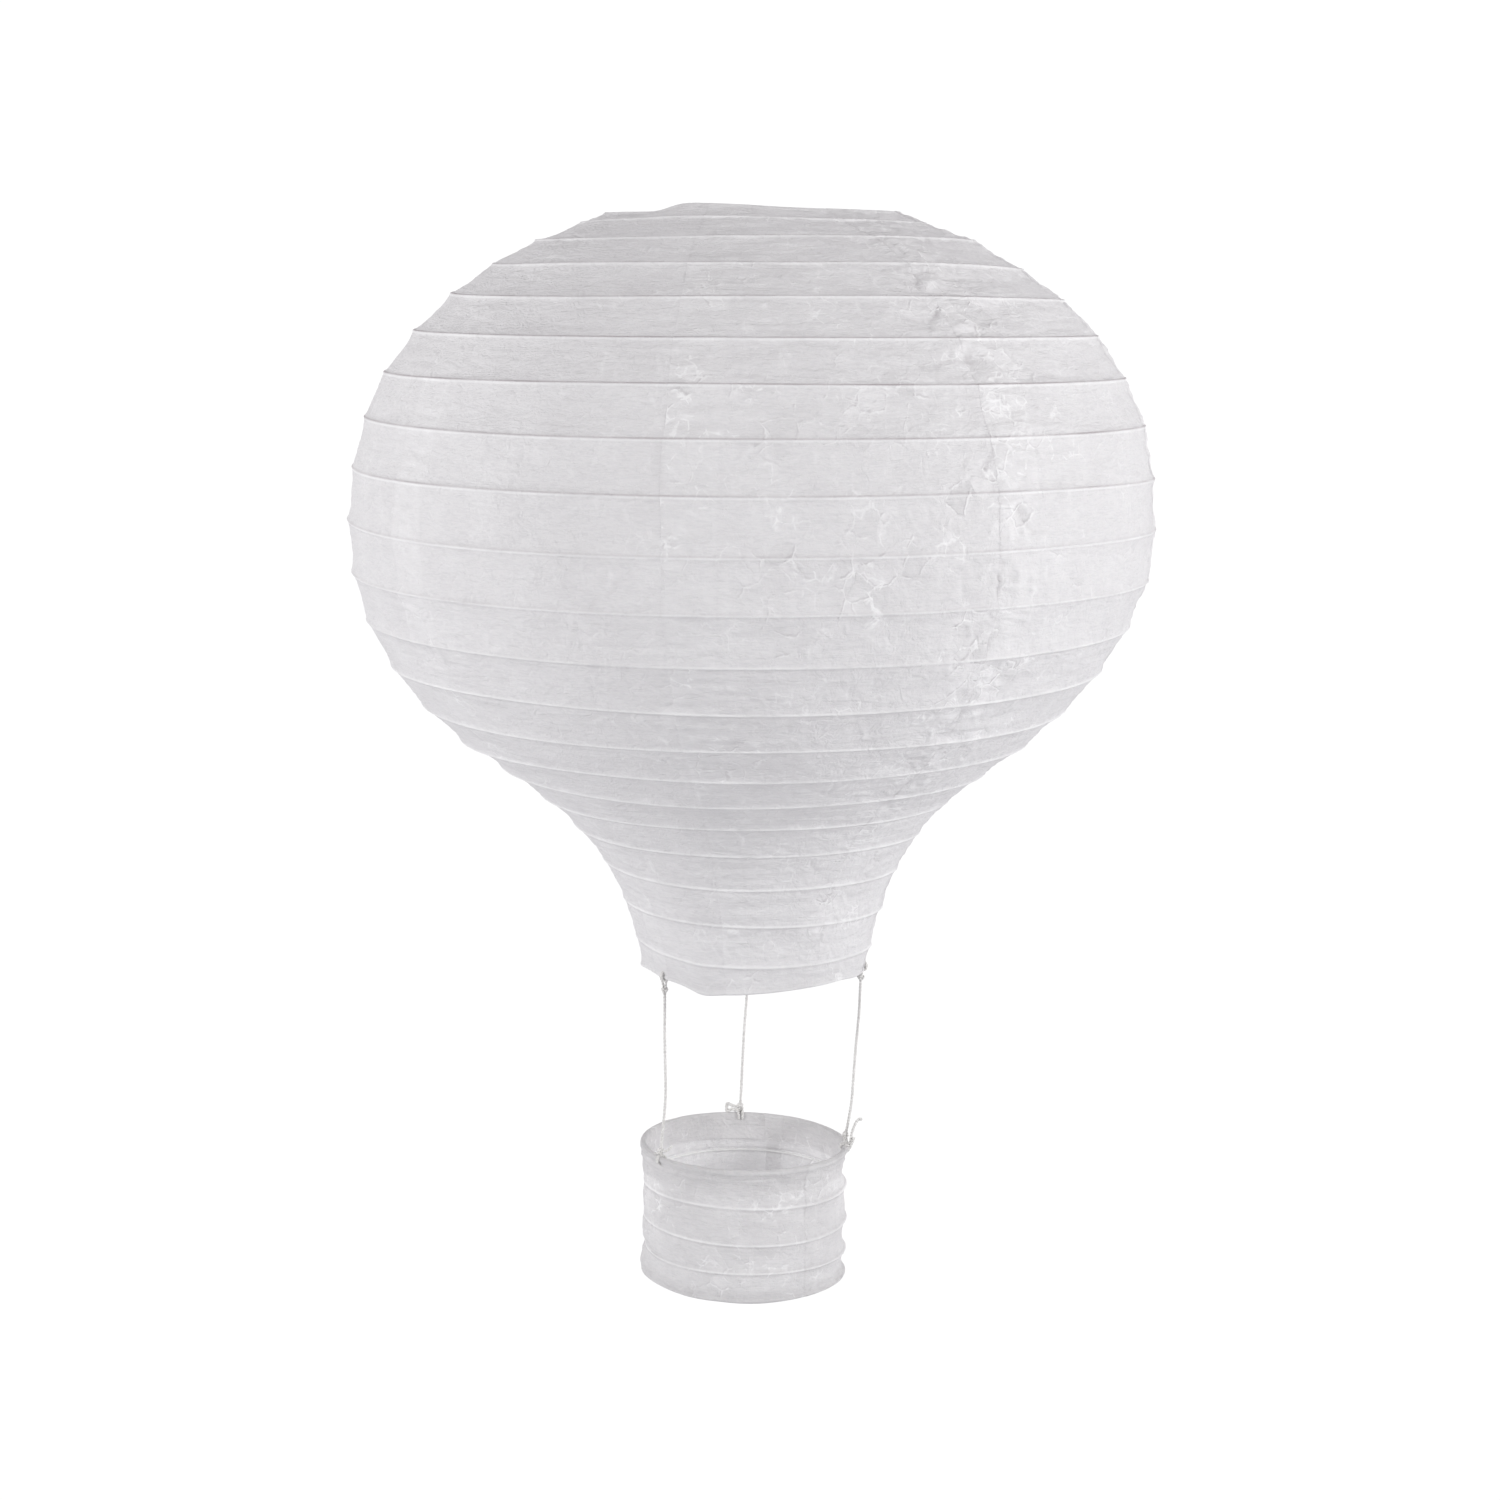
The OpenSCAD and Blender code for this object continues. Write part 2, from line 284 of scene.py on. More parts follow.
        # some bands are crushed hard and others hardly
        hard = (0.9, 1.5, 1.2, 1.3, 0.8, 0.9, 1.6, 1.3, 1.8, 1.2, 1.3, 1.3, 0.8, 0.5, 0.35, 0.25, 0.3, 0.25)[i - 2]
        p = math.radians(36.0) + rng.normal(-2.5, 1.6) / r0
        todo.append((a0 + 1.5 + rng.uniform(0, 2.5), p, (a1 - a0) * rng.uniform(0.62, 0.88), math.pi / 2 + rng.normal(0.05, 0.22), -0.75 * hard, 0.75, 1.0 * hard))
        todo.append((a0 + 1.5 + rng.uniform(0, 4), p + rng.normal(2.0, 1.2) / r0, (a1 - a0) * rng.uniform(0.4, 0.7), math.pi / 2 + rng.normal(0.0, 0.35), 0.5 * hard, 0.8, 0.0))
        for _ in range(6 if i < 12 else 2):
            p2 = p + rng.normal(-3.5, 6.5) / r0
            todo.append((rng.uniform(a0 + 2, a1 - 5), p2, rng.uniform(4, 13), rng.normal(math.pi / 2, 0.9), rng.choice([-1, 1]) * rng.uniform(0.25, 0.6) * hard, rng.uniform(0.5, 0.9), rng.uniform(0, 0.35) * hard))
        for _ in range(3 if i < 14 else 2):
            # creases that run in from the left towards the fold
            length = rng.uniform(6, 17)
            todo.append((rng.uniform(a0 + 3, a1 - 3), p - (length + rng.uniform(0, 6)) / r0, length, rng.normal(0, 0.35), rng.choice([-1, 1]) * rng.uniform(0.25, 0.55) * hard, rng.uniform(0.6, 1.1), rng.uniform(0, 0.25) * hard))
    # each crease: start, azimuth, length, heading, height, width, and how much painted shade lies along its valley
    for s0, p, length, ang, a, w, painted_shading in todo:
        r0 = float(np.interp(s0, run, path[:, 0]))
        x, y = p * r0, s0
        pts = [(x, y)]
        n = int(rng.integers(2, 5))
        for _ in range(n):
            ang += rng.normal(0, 0.55)
            x += math.cos(ang) * length / n
            y += math.sin(ang) * length / n
            pts.append((x, y))
        pts = A(pts)
        lo_x, hi_x = pts[:, 0].min() - 5, pts[:, 0].max() + 5
        lo_y, hi_y = max(0, pts[:, 1].min() - 5), min(TOTAL, pts[:, 1].max() + 5)
        i0 = int(math.floor((lo_x / r0 + math.pi) / dphi))
        i1 = int(math.ceil((hi_x / r0 + math.pi) / dphi))
        j0, j1 = max(0, int(np.searchsorted(GS, lo_y)) - 1), min(NS, int(np.searchsorted(GS, hi_y)) + 1)
        ii = np.arange(i0, i1 + 1)
        gx = ((ii * dphi - math.pi) * r0)[:, None]
        gy = GS[j0:j1][None, :]
        best = np.full((len(ii), j1 - j0), 99.0)
        along = np.zeros_like(best)
        for q in range(n):
            ax, ay = pts[q]
            bx, by = pts[q + 1]
            vx, vy = bx - ax, by - ay
            u = np.clip(((gx - ax) * vx + (gy - ay) * vy) / max(vx * vx + vy * vy, 1e-9), 0, 1)
            dd = np.hypot(gx - ax - u * vx, gy - ay - u * vy)
            take = dd < best
            best = np.where(take, dd, best)
            along = np.where(take, (q + u) / n, along)
        bump = a * np.exp(-best / w) * np.sin(math.pi * np.clip(along, 0.04, 0.96)) ** 0.6
        there = free[ii % NPHI, j0:j1]
        h[ii % NPHI, j0:j1] += bump * there
        # the painted shade and painted highlight along the crease line
        line = np.exp(-(best / 0.5) ** 2) * np.sin(math.pi * np.clip(along, 0.04, 0.96)) ** 0.5 * there
        crease_shading[ii % NPHI, j0:j1] += painted_shading * line + (-0.55 * min(1.0, a / 0.4) * line if a > 0 else 0.0)
    return h, crease_shading


H, CREASE_SHADING = relief()


def rib_shading_attributes(PH, S):
    """For the material: the distance to the nearest wire, the painted shade above and below each wire and the painted
    highlight along it, a mask for the painted crease shading, and where the paper is double.
    """
    R = np.interp(S, run, path[:, 0])
    X, Y = R * np.sin(PH), -R * np.cos(PH)
    k = np.interp(S, RIB_S, np.arange(22))
    bay = np.clip(np.floor(k), 0, 20).astype(int)
    d = np.minimum(S - RIB_S[bay], RIB_S[bay + 1] - S)
    q = np.sin(2 * math.pi * k)
    idx = np.round(k)
    at = [0, 1, 6, 9, 12, 20, 21]
    # painted shade just above each wire, painted highlight along its ridge and painted shade just below it, each with
    # its own strength from the top of the balloon down
    dark = np.interp(idx, at, [0, 1.0, 0.85, 0.22, 0.05, 0.05, 0]) * np.clip(0.85 + 0.9 * noise3(X / 21, Y / 21, idx * 4.1, 13), 0.2, 1.5)
    ridge_highlight = np.interp(idx, at, [0, 0.75, 0.75, 0.9, 1.0, 1.0, 0.3]) * np.clip(0.9 + 0.7 * noise3(X / 17, Y / 17, idx * 2.3, 14), 0.3, 1.3)
    under = np.interp(idx, [0, 8, 12, 20, 21], [0, 0.12, 0.55, 0.55, 0]) * np.clip(0.85 + 0.8 * noise3(X / 24, Y / 24, idx * 3.3, 15), 0.2, 1.4)
    shift = np.interp(idx, [1, 8, 12, 20], [0.62, 0.35, -0.15, -0.2])
    near = np.min([np.abs(wrap(PH - c)) * R for c in SEAMS], axis=0)
    strip = 1 - smooth(strip_width(S) / 2 - 0.4, strip_width(S) / 2 + 0.4, near)
    right = np.exp(-(wrap(PH - math.radians(34)) * R / 22.0) ** 2)
    face = smooth(-0.75, -0.1, PH) * (1 - smooth(0.75, 1.3, PH)) * np.interp(S, [0, 50, 120, 230, 270, 370], [0.3, 0.75, 1.0, 1.0, 0.5, 0.35])
    # where the painted crease highlights, crease shadows and facet shading show, strongest on the front, at the
    # right-hand fold and beside the seams
    wild = 0.28 + 0.55 * face + 0.5 * right + 0.35 * np.exp(-(near / 9.0) ** 2)
    wild = wild * np.clip(0.9 + 0.9 * noise3(X / 30, Y / 30, S / 22, 16), 0.2, 1.5)
    return np.stack([d, q, shift], -1), np.stack([dark, ridge_highlight, under], -1), np.stack([wild, strip, 0 * d], -1)


def sample_relief(phi, s, H=H):
    u = ((phi + math.pi) / (2 * math.pi)) % 1.0 * NPHI
    v = np.interp(s, GS, np.arange(NS))
    i, j = np.floor(u).astype(int), np.minimum(np.floor(v).astype(int), NS - 2)
    fu, fv = u - i, v - j
    i0, i1 = i % NPHI, (i + 1) % NPHI
    return (H[i0, j] * (1 - fu) * (1 - fv) + H[i1, j] * fu * (1 - fv) + H[i0, j + 1] * (1 - fu) * fv + H[i1, j + 1] * fu * fv)


_lip_at = np.radians([-180, -120, -90, -60, -45, -37, -30, -24, -12, 0, 12, 25, 45, 70, 90, 130, 180])
_lip_mm = A([-1.6, -1.6, -2.0, -2.5, -2.7, -2.5, -0.4, 0.3, -0.1, -0.6, -1.3, -1.7, -2.0, -2.0, -1.9, -1.4, -1.6])


def lip(phi):
    """Unevenness of the top edge, in mm: one high place at the front left, where the ring was bent up."""
    a = wrap(phi)
    return sum(np.interp(wrap(a + math.radians(d)), _lip_at, _lip_mm) for d in (-3, 0, 3)) / 3


_hem_at = np.radians([-180, -95, -75, -64, -50, -39, -33, -26, -20, -14, 0, 30, 39, 53, 70, 90, 180])
_hem_mm = A([0, 0, 1.4, 2.0, 1.7, 1.2, 0.0, -1.8, -1.1, -0.3, 0, 0.3, 0.6, 1.0, 0.6, 0.2, 0])


def hem(phi):
    """Unevenness of the neck edge, in mm."""
    a = wrap(phi)
    plain = (1.7 * smooth(math.radians(5), math.radians(35), phi) * (1 - smooth(math.radians(95), math.radians(130), phi))
             - 0.5 * smooth(math.radians(-10), math.radians(-60), phi) * smooth(math.radians(-120), math.radians(-80), phi)
             + 0.35 * np.sin(4 * phi + 0.3) + 0.22 * np.sin(9 * phi))
    return plain + sum(np.interp(wrap(a + math.radians(d)), _hem_at, _hem_mm) for d in (-3, 0, 3)) / 3


def envelope_point(phi, s, lift):
    """A point of the paper, in mm. s below 0 is the hem turned in over the top ring, and s past TOTAL the one round the neck ring."""
    core = np.clip(s, 0, TOTAL)
    k = np.interp(core, RIB_S, np.arange(22))
    i = np.clip(np.floor(k).astype(int), 0, 20)
    f = k - i
    r = RIDGE[i, 0] * (1 - f) + RIDGE[i + 1, 0] * f
    z = RIDGE[i, 1] * (1 - f) + RIDGE[i + 1, 1] * f
    n = RIDGE_N[i] * (1 - f)[..., None] + RIDGE_N[i + 1] * f[..., None]
    n = n / np.linalg.norm(n, axis=-1)[..., None]
    h = sample_relief(phi, core) + lift
    r = r + n[..., 0] * h + hoop_dr(k, phi)
    z = z + n[..., 1] * h + hoop_dz(k, phi)
    z = z + lip(phi) * np.exp(-core / 6.0) + hem(phi) * np.exp(-(TOTAL - core) / 7.0)
    # the turned-in hems: half a turn round the wire, then flat against the inside
    over = np.clip(-s, 0, None)
    turn = np.clip(over / 2.6, 0, 1) * math.pi
    depth = np.clip(over - 2.6, 0, None)
    r = r - 0.85 * (1 - np.cos(turn)) - 0.15 * depth
    z = z + 0.55 * np.sin(turn) - 0.98 * depth - 0.4 * (turn / math.pi)
    over = np.clip(s - TOTAL, 0, None)
    turn = np.clip(over / 3.0, 0, 1) * math.pi
    depth = np.clip(over - 3.0, 0, None)
    r = r - 0.95 * (1 - np.cos(turn))
    z = z - 0.65 * np.sin(turn) + depth
    return np.stack([r * np.sin(phi), -r * np.cos(phi), z], -1)


# ---------------------------------------------------------------- mesh helpers
def add_mesh(name, verts, faces, smooth_faces=True, attrs=None):
    """verts in mm."""
    me = bpy.data.meshes.new(name)
    verts = np.asarray(verts, float) * MM
    faces = np.asarray(faces, int)
    me.vertices.add(len(verts))
    me.vertices.foreach_set("co", verts.astype(np.float32).ravel())
    size = faces.shape[1]
    me.loops.add(faces.size)
    me.loops.foreach_set("vertex_index", faces.ravel().astype(np.int32))
    me.polygons.add(len(faces))
    me.polygons.foreach_set("loop_start", (np.arange(len(faces)) * size).astype(np.int32))
    me.polygons.foreach_set("loop_total", np.full(len(faces), size, np.int32))
    me.update(calc_edges=True)
    if smooth_faces:
        me.polygons.foreach_set("use_smooth", np.ones(len(faces), bool))
    for key, val in (attrs or {}).items():
        val = np.asarray(val, np.float32)
        if val.ndim == 2:
            at = me.attributes.new(key, "FLOAT_VECTOR", "POINT")
            at.data.foreach_set("vector", val.ravel())
        else:
            at = me.attributes.new(key, "FLOAT", "POINT")
            at.data.foreach_set("value", val.ravel())
    me.validate()
    ob = bpy.data.objects.new(name, me)
    bpy.context.scene.collection.objects.link(ob)
    return ob


def grid_faces(nu, nv, wrap_u=False, flip=False):
    i = np.arange(nu if wrap_u else nu - 1)
    j = np.arange(nv - 1)
    I, J = np.meshgrid(i, j, indexing="ij")
    I2 = (I + 1) % nu
    f = np.stack([I * nv + J, I2 * nv + J, I2 * nv + J + 1, I * nv + J + 1], -1).reshape(-1, 4)
    return f[:, ::-1] if flip else f


def tube(points, radius, sides=10, closed=False, cap=True):
    """Verts and quad faces of a tube along points (mm). radius is a number or a list."""
    P = np.asarray(points, float)
    n = len(P)
    if closed:
        T = np.roll(P, -1, 0) - np.roll(P, 1, 0)
    else:
        T = np.gradient(P, axis=0)
    T /= np.linalg.norm(T, axis=1)[:, None]
    up = A([0, 0, 1.0]) if abs(T[0][2]) < 0.9 else A([1.0, 0, 0])
    N = np.zeros_like(P)
    N[0] = np.cross(T[0], np.cross(up, T[0]))
    N[0] /= np.linalg.norm(N[0])
    for i in range(1, n):
        v = N[i - 1] - T[i] * (N[i - 1] @ T[i])
        N[i] = v / np.linalg.norm(v)
    if closed:
        # spread the leftover twist evenly
        v = N[-1] - T[0] * (N[-1] @ T[0])
        v /= np.linalg.norm(v)
        B0 = np.cross(T[0], N[0])
        ang = math.atan2(v @ B0, v @ N[0])
        for i in range(n):
            a = -ang * i / n
            B = np.cross(T[i], N[i])
            N[i] = N[i] * math.cos(a) + B * math.sin(a)
    B = np.cross(T, N)
    rad = np.broadcast_to(np.asarray(radius, float), (n,))
    th = np.arange(sides) * 2 * math.pi / sides
    V = (P[:, None, :] + rad[:, None, None] * (np.cos(th)[None, :, None] * N[:, None, :] + np.sin(th)[None, :, None] * B[:, None, :])).reshape(-1, 3)
    F = []
    for i in range(n if closed else n - 1):
        a, b = i * sides, ((i + 1) % n) * sides
        for j in range(sides):
            k = (j + 1) % sides
            F.append((a + j, a + k, b + k, b + j))
    V = list(map(tuple, V))
    if cap and not closed:
        for ring, centre, order in ((0, P[0], 1), (n - 1, P[-1], -1)):
            c = len(V)
            V.append(tuple(centre))
            for j in range(0, sides, 2):
                q = [ring * sides + j, ring * sides + (j + 1) % sides, ring * sides + (j + 2) % sides, c]
                F.append(tuple(q[::-1]) if order == 1 else tuple(q))
    return V, F


def joined(parts):
    V, F = [], []
    for v, f in parts:
        o = len(V)
        V += list(v)
        F += [tuple(x + o for x in q) for q in f]
    return V, F


def two_ply(points, strand=0.52, pitch=3.4, phase=0.0, sides=8, spread=None):
    """Two strands twisted round each other along a path (mm)."""
    P = np.asarray(points, float)
    seg = np.r_[0, np.cumsum(np.linalg.norm(np.diff(P, axis=0), axis=1))]
    n = max(12, int(seg[-1] / (pitch / 12)))
    at = np.linspace(0, seg[-1], n)
    C = np.stack([np.interp(at, seg, P[:, k]) for k in range(3)], -1)
    T = np.gradient(C, axis=0)
    T /= np.linalg.norm(T, axis=1)[:, None]
    ref = A([1.0, 0.2, 0.1])
    N = np.zeros_like(C)
    v = ref - T[0] * (ref @ T[0])
    N[0] = v / np.linalg.norm(v)
    for i in range(1, n):
        v = N[i - 1] - T[i] * (N[i - 1] @ T[i])
        N[i] = v / np.linalg.norm(v)
    B = np.cross(T, N)
    out = []
    off = (strand * 0.86 if spread is None else spread)
    for k in (0, 1):
        a = 2 * math.pi * at / pitch + phase + k * math.pi
        Q = C + off * (np.cos(a)[:, None] * N + np.sin(a)[:, None] * B)
        out.append(tube(Q, strand, sides))
    return joined(out)


def spline(points, n=40):
    """A Catmull-Rom curve through points."""
    P = np.asarray(points, float)
    P = np.vstack([2 * P[0] - P[1], P, 2 * P[-1] - P[-2]])
    out = []
    per = max(2, n // (len(P) - 3))
    for i in range(1, len(P) - 2):
        a, b, c, d = P[i - 1], P[i], P[i + 1], P[i + 2]
        for t in np.linspace(0, 1, per, endpoint=False):
            out.append(0.5 * (2 * b + (c - a) * t + (2 * a - 5 * b + 4 * c - d) * t * t + (3 * b - a - 3 * c + d) * t ** 3))
    out.append(P[-2])
    return A(out)


# ---------------------------------------------------------------- materials
def nodes_of(name):
    m = bpy.data.materials.new(name)
    m.use_nodes = True
    nt = m.node_tree
    nt.nodes.clear()
    return m, nt, nt.nodes, nt.links


def paper_material(name, tint, dark, translucent=0.42, bump=1.0):
    m, nt, N, L = nodes_of(name)
    out = N.new("ShaderNodeOutputMaterial")
    at = N.new("ShaderNodeAttribute")
    at.attribute_name = "rest"
    co = at.outputs["Vector"]

    def mapped(scale):
        mp = N.new("ShaderNodeMapping")
        mp.inputs["Scale"].default_value = scale
        L.new(co, mp.inputs["Vector"])
        return mp.outputs["Vector"]

    def noise(scale, vec, detail=4.0, rough=0.55, distort=0.0):
        n = N.new("ShaderNodeTexNoise")
        n.inputs["Scale"].default_value = scale
        n.inputs["Detail"].default_value = detail
        n.inputs["Roughness"].default_value = rough
        n.inputs["Distortion"].default_value = distort
        L.new(vec, n.inputs["Vector"])
        return n.outputs["Fac"]

    def ramp(fac, stops):
        r = N.new("ShaderNodeValToRGB")
        e = r.color_ramp.elements
        while len(e) < len(stops):
            e.new(0.5)
        for el, (p, c) in zip(e, stops):
            el.position = p
            el.color = (c[0], c[1], c[2], 1)
        L.new(fac, r.inputs["Fac"])
        return r.outputs["Color"]

    def math_(op, a, b=None, v=None):
        n = N.new("ShaderNodeMath")
        n.operation = op
        L.new(a, n.inputs[0])
        if b is not None:
            L.new(b, n.inputs[1])
        elif v is not None:
            n.inputs[1].default_value = v
        return n.outputs[0]

    # pulp clouds, fibres and a faint mauve cast in patches
    cloud = noise(60, co, 5, 0.6)
    fibre = noise(900, mapped((0.25, 0.25, 1.4)), 3, 0.7, 1.2)
    fine = noise(2600, co, 2, 0.6)
    base = ramp(cloud, [(0.32, dark), (0.68, tint)])
    fib = ramp(fibre, [(0.36, (0.93, 0.93, 0.935)), (0.55, (1, 1, 1)), (0.8, (1.0, 1.0, 1.0))])
    mul = N.new("ShaderNodeMix")
    mul.data_type = "RGBA"
    mul.blend_type = "MULTIPLY"
    mul.inputs["Factor"].default_value = 1.0
    L.new(base, mul.inputs["A"])
    L.new(fib, mul.inputs["B"])
    def attribute(which):
        n = N.new("ShaderNodeAttribute")
        n.attribute_name = which
        sp = N.new("ShaderNodeSeparateXYZ")
        L.new(n.outputs["Vector"], sp.inputs[0])
        return sp.outputs

    def fall(x, width, top=1.0):
        """top at 0, nothing from width on, with soft ends"""
        n = N.new("ShaderNodeMapRange")
        n.interpolation_type = "SMOOTHSTEP"
        n.inputs["From Min"].default_value = 0.0
        n.inputs["From Max"].default_value = width
        n.inputs["To Min"].default_value = top
        n.inputs["To Max"].default_value = 0.0
        L.new(x, n.inputs["Value"])
        return n.outputs[0]

    def rise(x, lo, hi):
        n = N.new("ShaderNodeMapRange")
        n.interpolation_type = "SMOOTHSTEP"
        n.inputs["From Min"].default_value = lo
        n.inputs["From Max"].default_value = hi
        L.new(x, n.inputs["Value"])
        return n.outputs[0]

    def blend(fac, a, b):
        n = N.new("ShaderNodeMix")
        n.data_type = "RGBA"
        L.new(fac, n.inputs["Factor"])
        L.new(a, n.inputs["A"])
        n.inputs["B"].default_value = (*b, 1)
        return n.outputs["Result"]

    rib, painted_shading, soft_ = attribute("rib"), attribute("painted_shading"), attribute("soft")
    side = math_("MULTIPLY", rib[0], math_("SIGN", rib[1]))        # mm past the nearest wire, downwards
    # painted shadow line just above each wire, painted highlight line along its ridge and painted shadow line just
    # below it
    above_rib_shadow_line = math_("MULTIPLY", fall(math_("ABSOLUTE", math_("ADD", side, v=0.30)), 0.62), painted_shading[0])
    ridge_highlight_line = math_("MULTIPLY", fall(math_("ABSOLUTE", math_("SUBTRACT", side, rib[2])), 0.72), painted_shading[1])
    below_rib_shadow_line = math_("MULTIPLY", fall(math_("ABSOLUTE", math_("SUBTRACT", side, v=0.85)), 0.80), painted_shading[2])

    # painted highlights and painted shadows along sharp straight crease lines that meet in threes, in patches; they are
    # colour only, with no bump
    wob = N.new("ShaderNodeTexNoise")
    wob.inputs["Scale"].default_value = 150
    wob.inputs["Detail"].default_value = 3
    L.new(co, wob.inputs["Vector"])
    half_ = N.new("ShaderNodeVectorMath")
    half_.operation = "SUBTRACT"
    L.new(wob.outputs["Color"], half_.inputs[0])
    half_.inputs[1].default_value = (0.5, 0.5, 0.5)
    small_ = N.new("ShaderNodeVectorMath")
    small_.operation = "SCALE"
    L.new(half_.outputs[0], small_.inputs[0])
    small_.inputs["Scale"].default_value = 0.0042
    bent = N.new("ShaderNodeVectorMath")
    bent.operation = "ADD"
    L.new(co, bent.inputs[0])
    L.new(small_.outputs[0], bent.inputs[1])

    def edges(scale, off):
        mv = N.new("ShaderNodeVectorMath")
        mv.operation = "ADD"
        L.new(bent.outputs[0], mv.inputs[0])
        mv.inputs[1].default_value = off
        v = N.new("ShaderNodeTexVoronoi")
        v.feature = "DISTANCE_TO_EDGE"
        v.inputs["Scale"].default_value = scale
        L.new(mv.outputs[0], v.inputs["Vector"])
        return v.outputs["Distance"]

    patch_a = rise(noise(34, co, 2, 0.5), 0.50, 0.60)
    patch_b = rise(noise(62, mapped((1.0, 1.0, 1.0)), 2, 0.5, 0.6), 0.54, 0.63)
    crumbs = noise(170, co, 3, 0.55, 0.9)
    wild = math_("MULTIPLY", soft_[0], rise(crumbs, 0.44, 0.56))     # only parts of each painted crease line show
    # painted highlights along the crease lines, and a painted shadow along a copy shifted a little beside them
    crease_highlight_a = math_("MULTIPLY", math_("MULTIPLY", fall(edges(112, (0, 0, 0)), 0.055), patch_a), wild)
    crease_highlight_b = math_("MULTIPLY", math_("MULTIPLY", fall(edges(190, (0.03, 0.01, 0)), 0.085), patch_b), wild)
    crease_shadow_a = math_("MULTIPLY", math_("MULTIPLY", fall(edges(112, (0.0003, 0, 0.0006)), 0.065), patch_a), wild)
    # painted facet shading: each crumpled cell made lighter or darker at random, as tilted facets would catch the light
    cell = N.new("ShaderNodeTexVoronoi")
    cell.inputs["Scale"].default_value = 112
    L.new(bent.outputs[0], cell.inputs["Vector"])
    cs = N.new("ShaderNodeSeparateColor")
    L.new(cell.outputs["Color"], cs.inputs[0])
    painted_facet_shade = math_("MULTIPLY", math_("SUBTRACT", cs.outputs[0], v=0.5), math_("MULTIPLY", patch_a, soft_[0]))
    value = N.new("ShaderNodeHueSaturation")
    L.new(math_("ADD", math_("MULTIPLY", painted_facet_shade, v=0.10), v=1.0), value.inputs["Value"])
    L.new(mul.outputs["Result"], value.inputs["Color"])
    mk = N.new("ShaderNodeAttribute")
    mk.attribute_name = "crease_shading"
    # painted shade beside the creases, in the crease valleys and below the wires; painted highlight along the creases
    # and the ridges; the glued double-ply strips are whiter
    shade = math_("MULTIPLY", crease_shadow_a, v=0.34)
    shade = math_("ADD", shade, math_("MULTIPLY", math_("MAXIMUM", mk.outputs["Fac"], v=0.0), v=0.20))
    shade = math_("ADD", shade, math_("MULTIPLY", below_rib_shadow_line, v=0.22))
    painted_highlight_and_ply = math_("ADD", math_("MULTIPLY", crease_highlight_a, v=0.85), math_("MULTIPLY", crease_highlight_b, v=0.9))
    painted_highlight_and_ply = math_("ADD", painted_highlight_and_ply, math_("MULTIPLY", math_("MINIMUM", mk.outputs["Fac"], v=0.0), v=-0.9))
    painted_highlight_and_ply = math_("ADD", painted_highlight_and_ply, ridge_highlight_line)
    painted_highlight_and_ply = math_("ADD", painted_highlight_and_ply, math_("MULTIPLY", soft_[1], v=0.24))
    shade_n = math_("MINIMUM", shade, v=0.8)
    highlight_and_ply_amount = math_("MINIMUM", painted_highlight_and_ply, v=1.0)
    # blend towards a painted shade colour, then towards a painted highlight colour
    colour = blend(shade_n, value.outputs[0], (0.42, 0.385, 0.40))
    colour = blend(highlight_and_ply_amount, colour, (1.0, 0.996, 0.998))
    # painted shadow line above the wires, in a mauve-grey shade colour
    colour = blend(math_("MULTIPLY", above_rib_shadow_line, v=0.70), colour, (0.40, 0.335, 0.355))

    # bump: long flat crinkles, small crushed facets, pulp grain
    def ridged(fac):
        a = math_("SUBTRACT", fac, v=0.5)
        return math_("ABSOLUTE", a)

    long_ = ridged(noise(110, mapped((0.30, 0.30, 1.9)), 4, 0.6, 0.8))
    facet = ridged(crumbs)
    small = ridged(noise(420, mapped((0.7, 0.7, 1.2)), 3, 0.6, 0.4))
    grain = math_("MULTIPLY", fine, v=0.10)
    g2 = math_("MULTIPLY", fibre, v=0.16)
    hgt = math_("ADD", math_("MULTIPLY", long_, v=-1.5), math_("MULTIPLY", facet, v=-1.5))
    hgt = math_("ADD", hgt, math_("MULTIPLY", small, v=-0.65))
    hgt = math_("ADD", hgt, math_("ADD", grain, g2))
    bp = N.new("ShaderNodeBump")
    bp.inputs["Strength"].default_value = 1.0 * bump
    bp.inputs["Distance"].default_value = 0.00062
    L.new(hgt, bp.inputs["Height"])

    pr = N.new("ShaderNodeBsdfPrincipled")
    L.new(colour, pr.inputs["Base Color"])
    pr.inputs["Roughness"].default_value = 0.62
    pr.inputs["Specular IOR Level"].default_value = 0.28
    pr.inputs["Sheen Weight"].default_value = 0.08
    pr.inputs["Sheen Roughness"].default_value = 0.5
    L.new(bp.outputs["Normal"], pr.inputs["Normal"])
    tr = N.new("ShaderNodeBsdfTranslucent")
    L.new(colour, tr.inputs["Color"])
    L.new(bp.outputs["Normal"], tr.inputs["Normal"])
    mx = N.new("ShaderNodeMixShader")
    mx.inputs[0].default_value = translucent
    L.new(pr.outputs[0], mx.inputs[1])
    L.new(tr.outputs[0], mx.inputs[2])
    L.new(mx.outputs[0], out.inputs["Surface"])
    return m


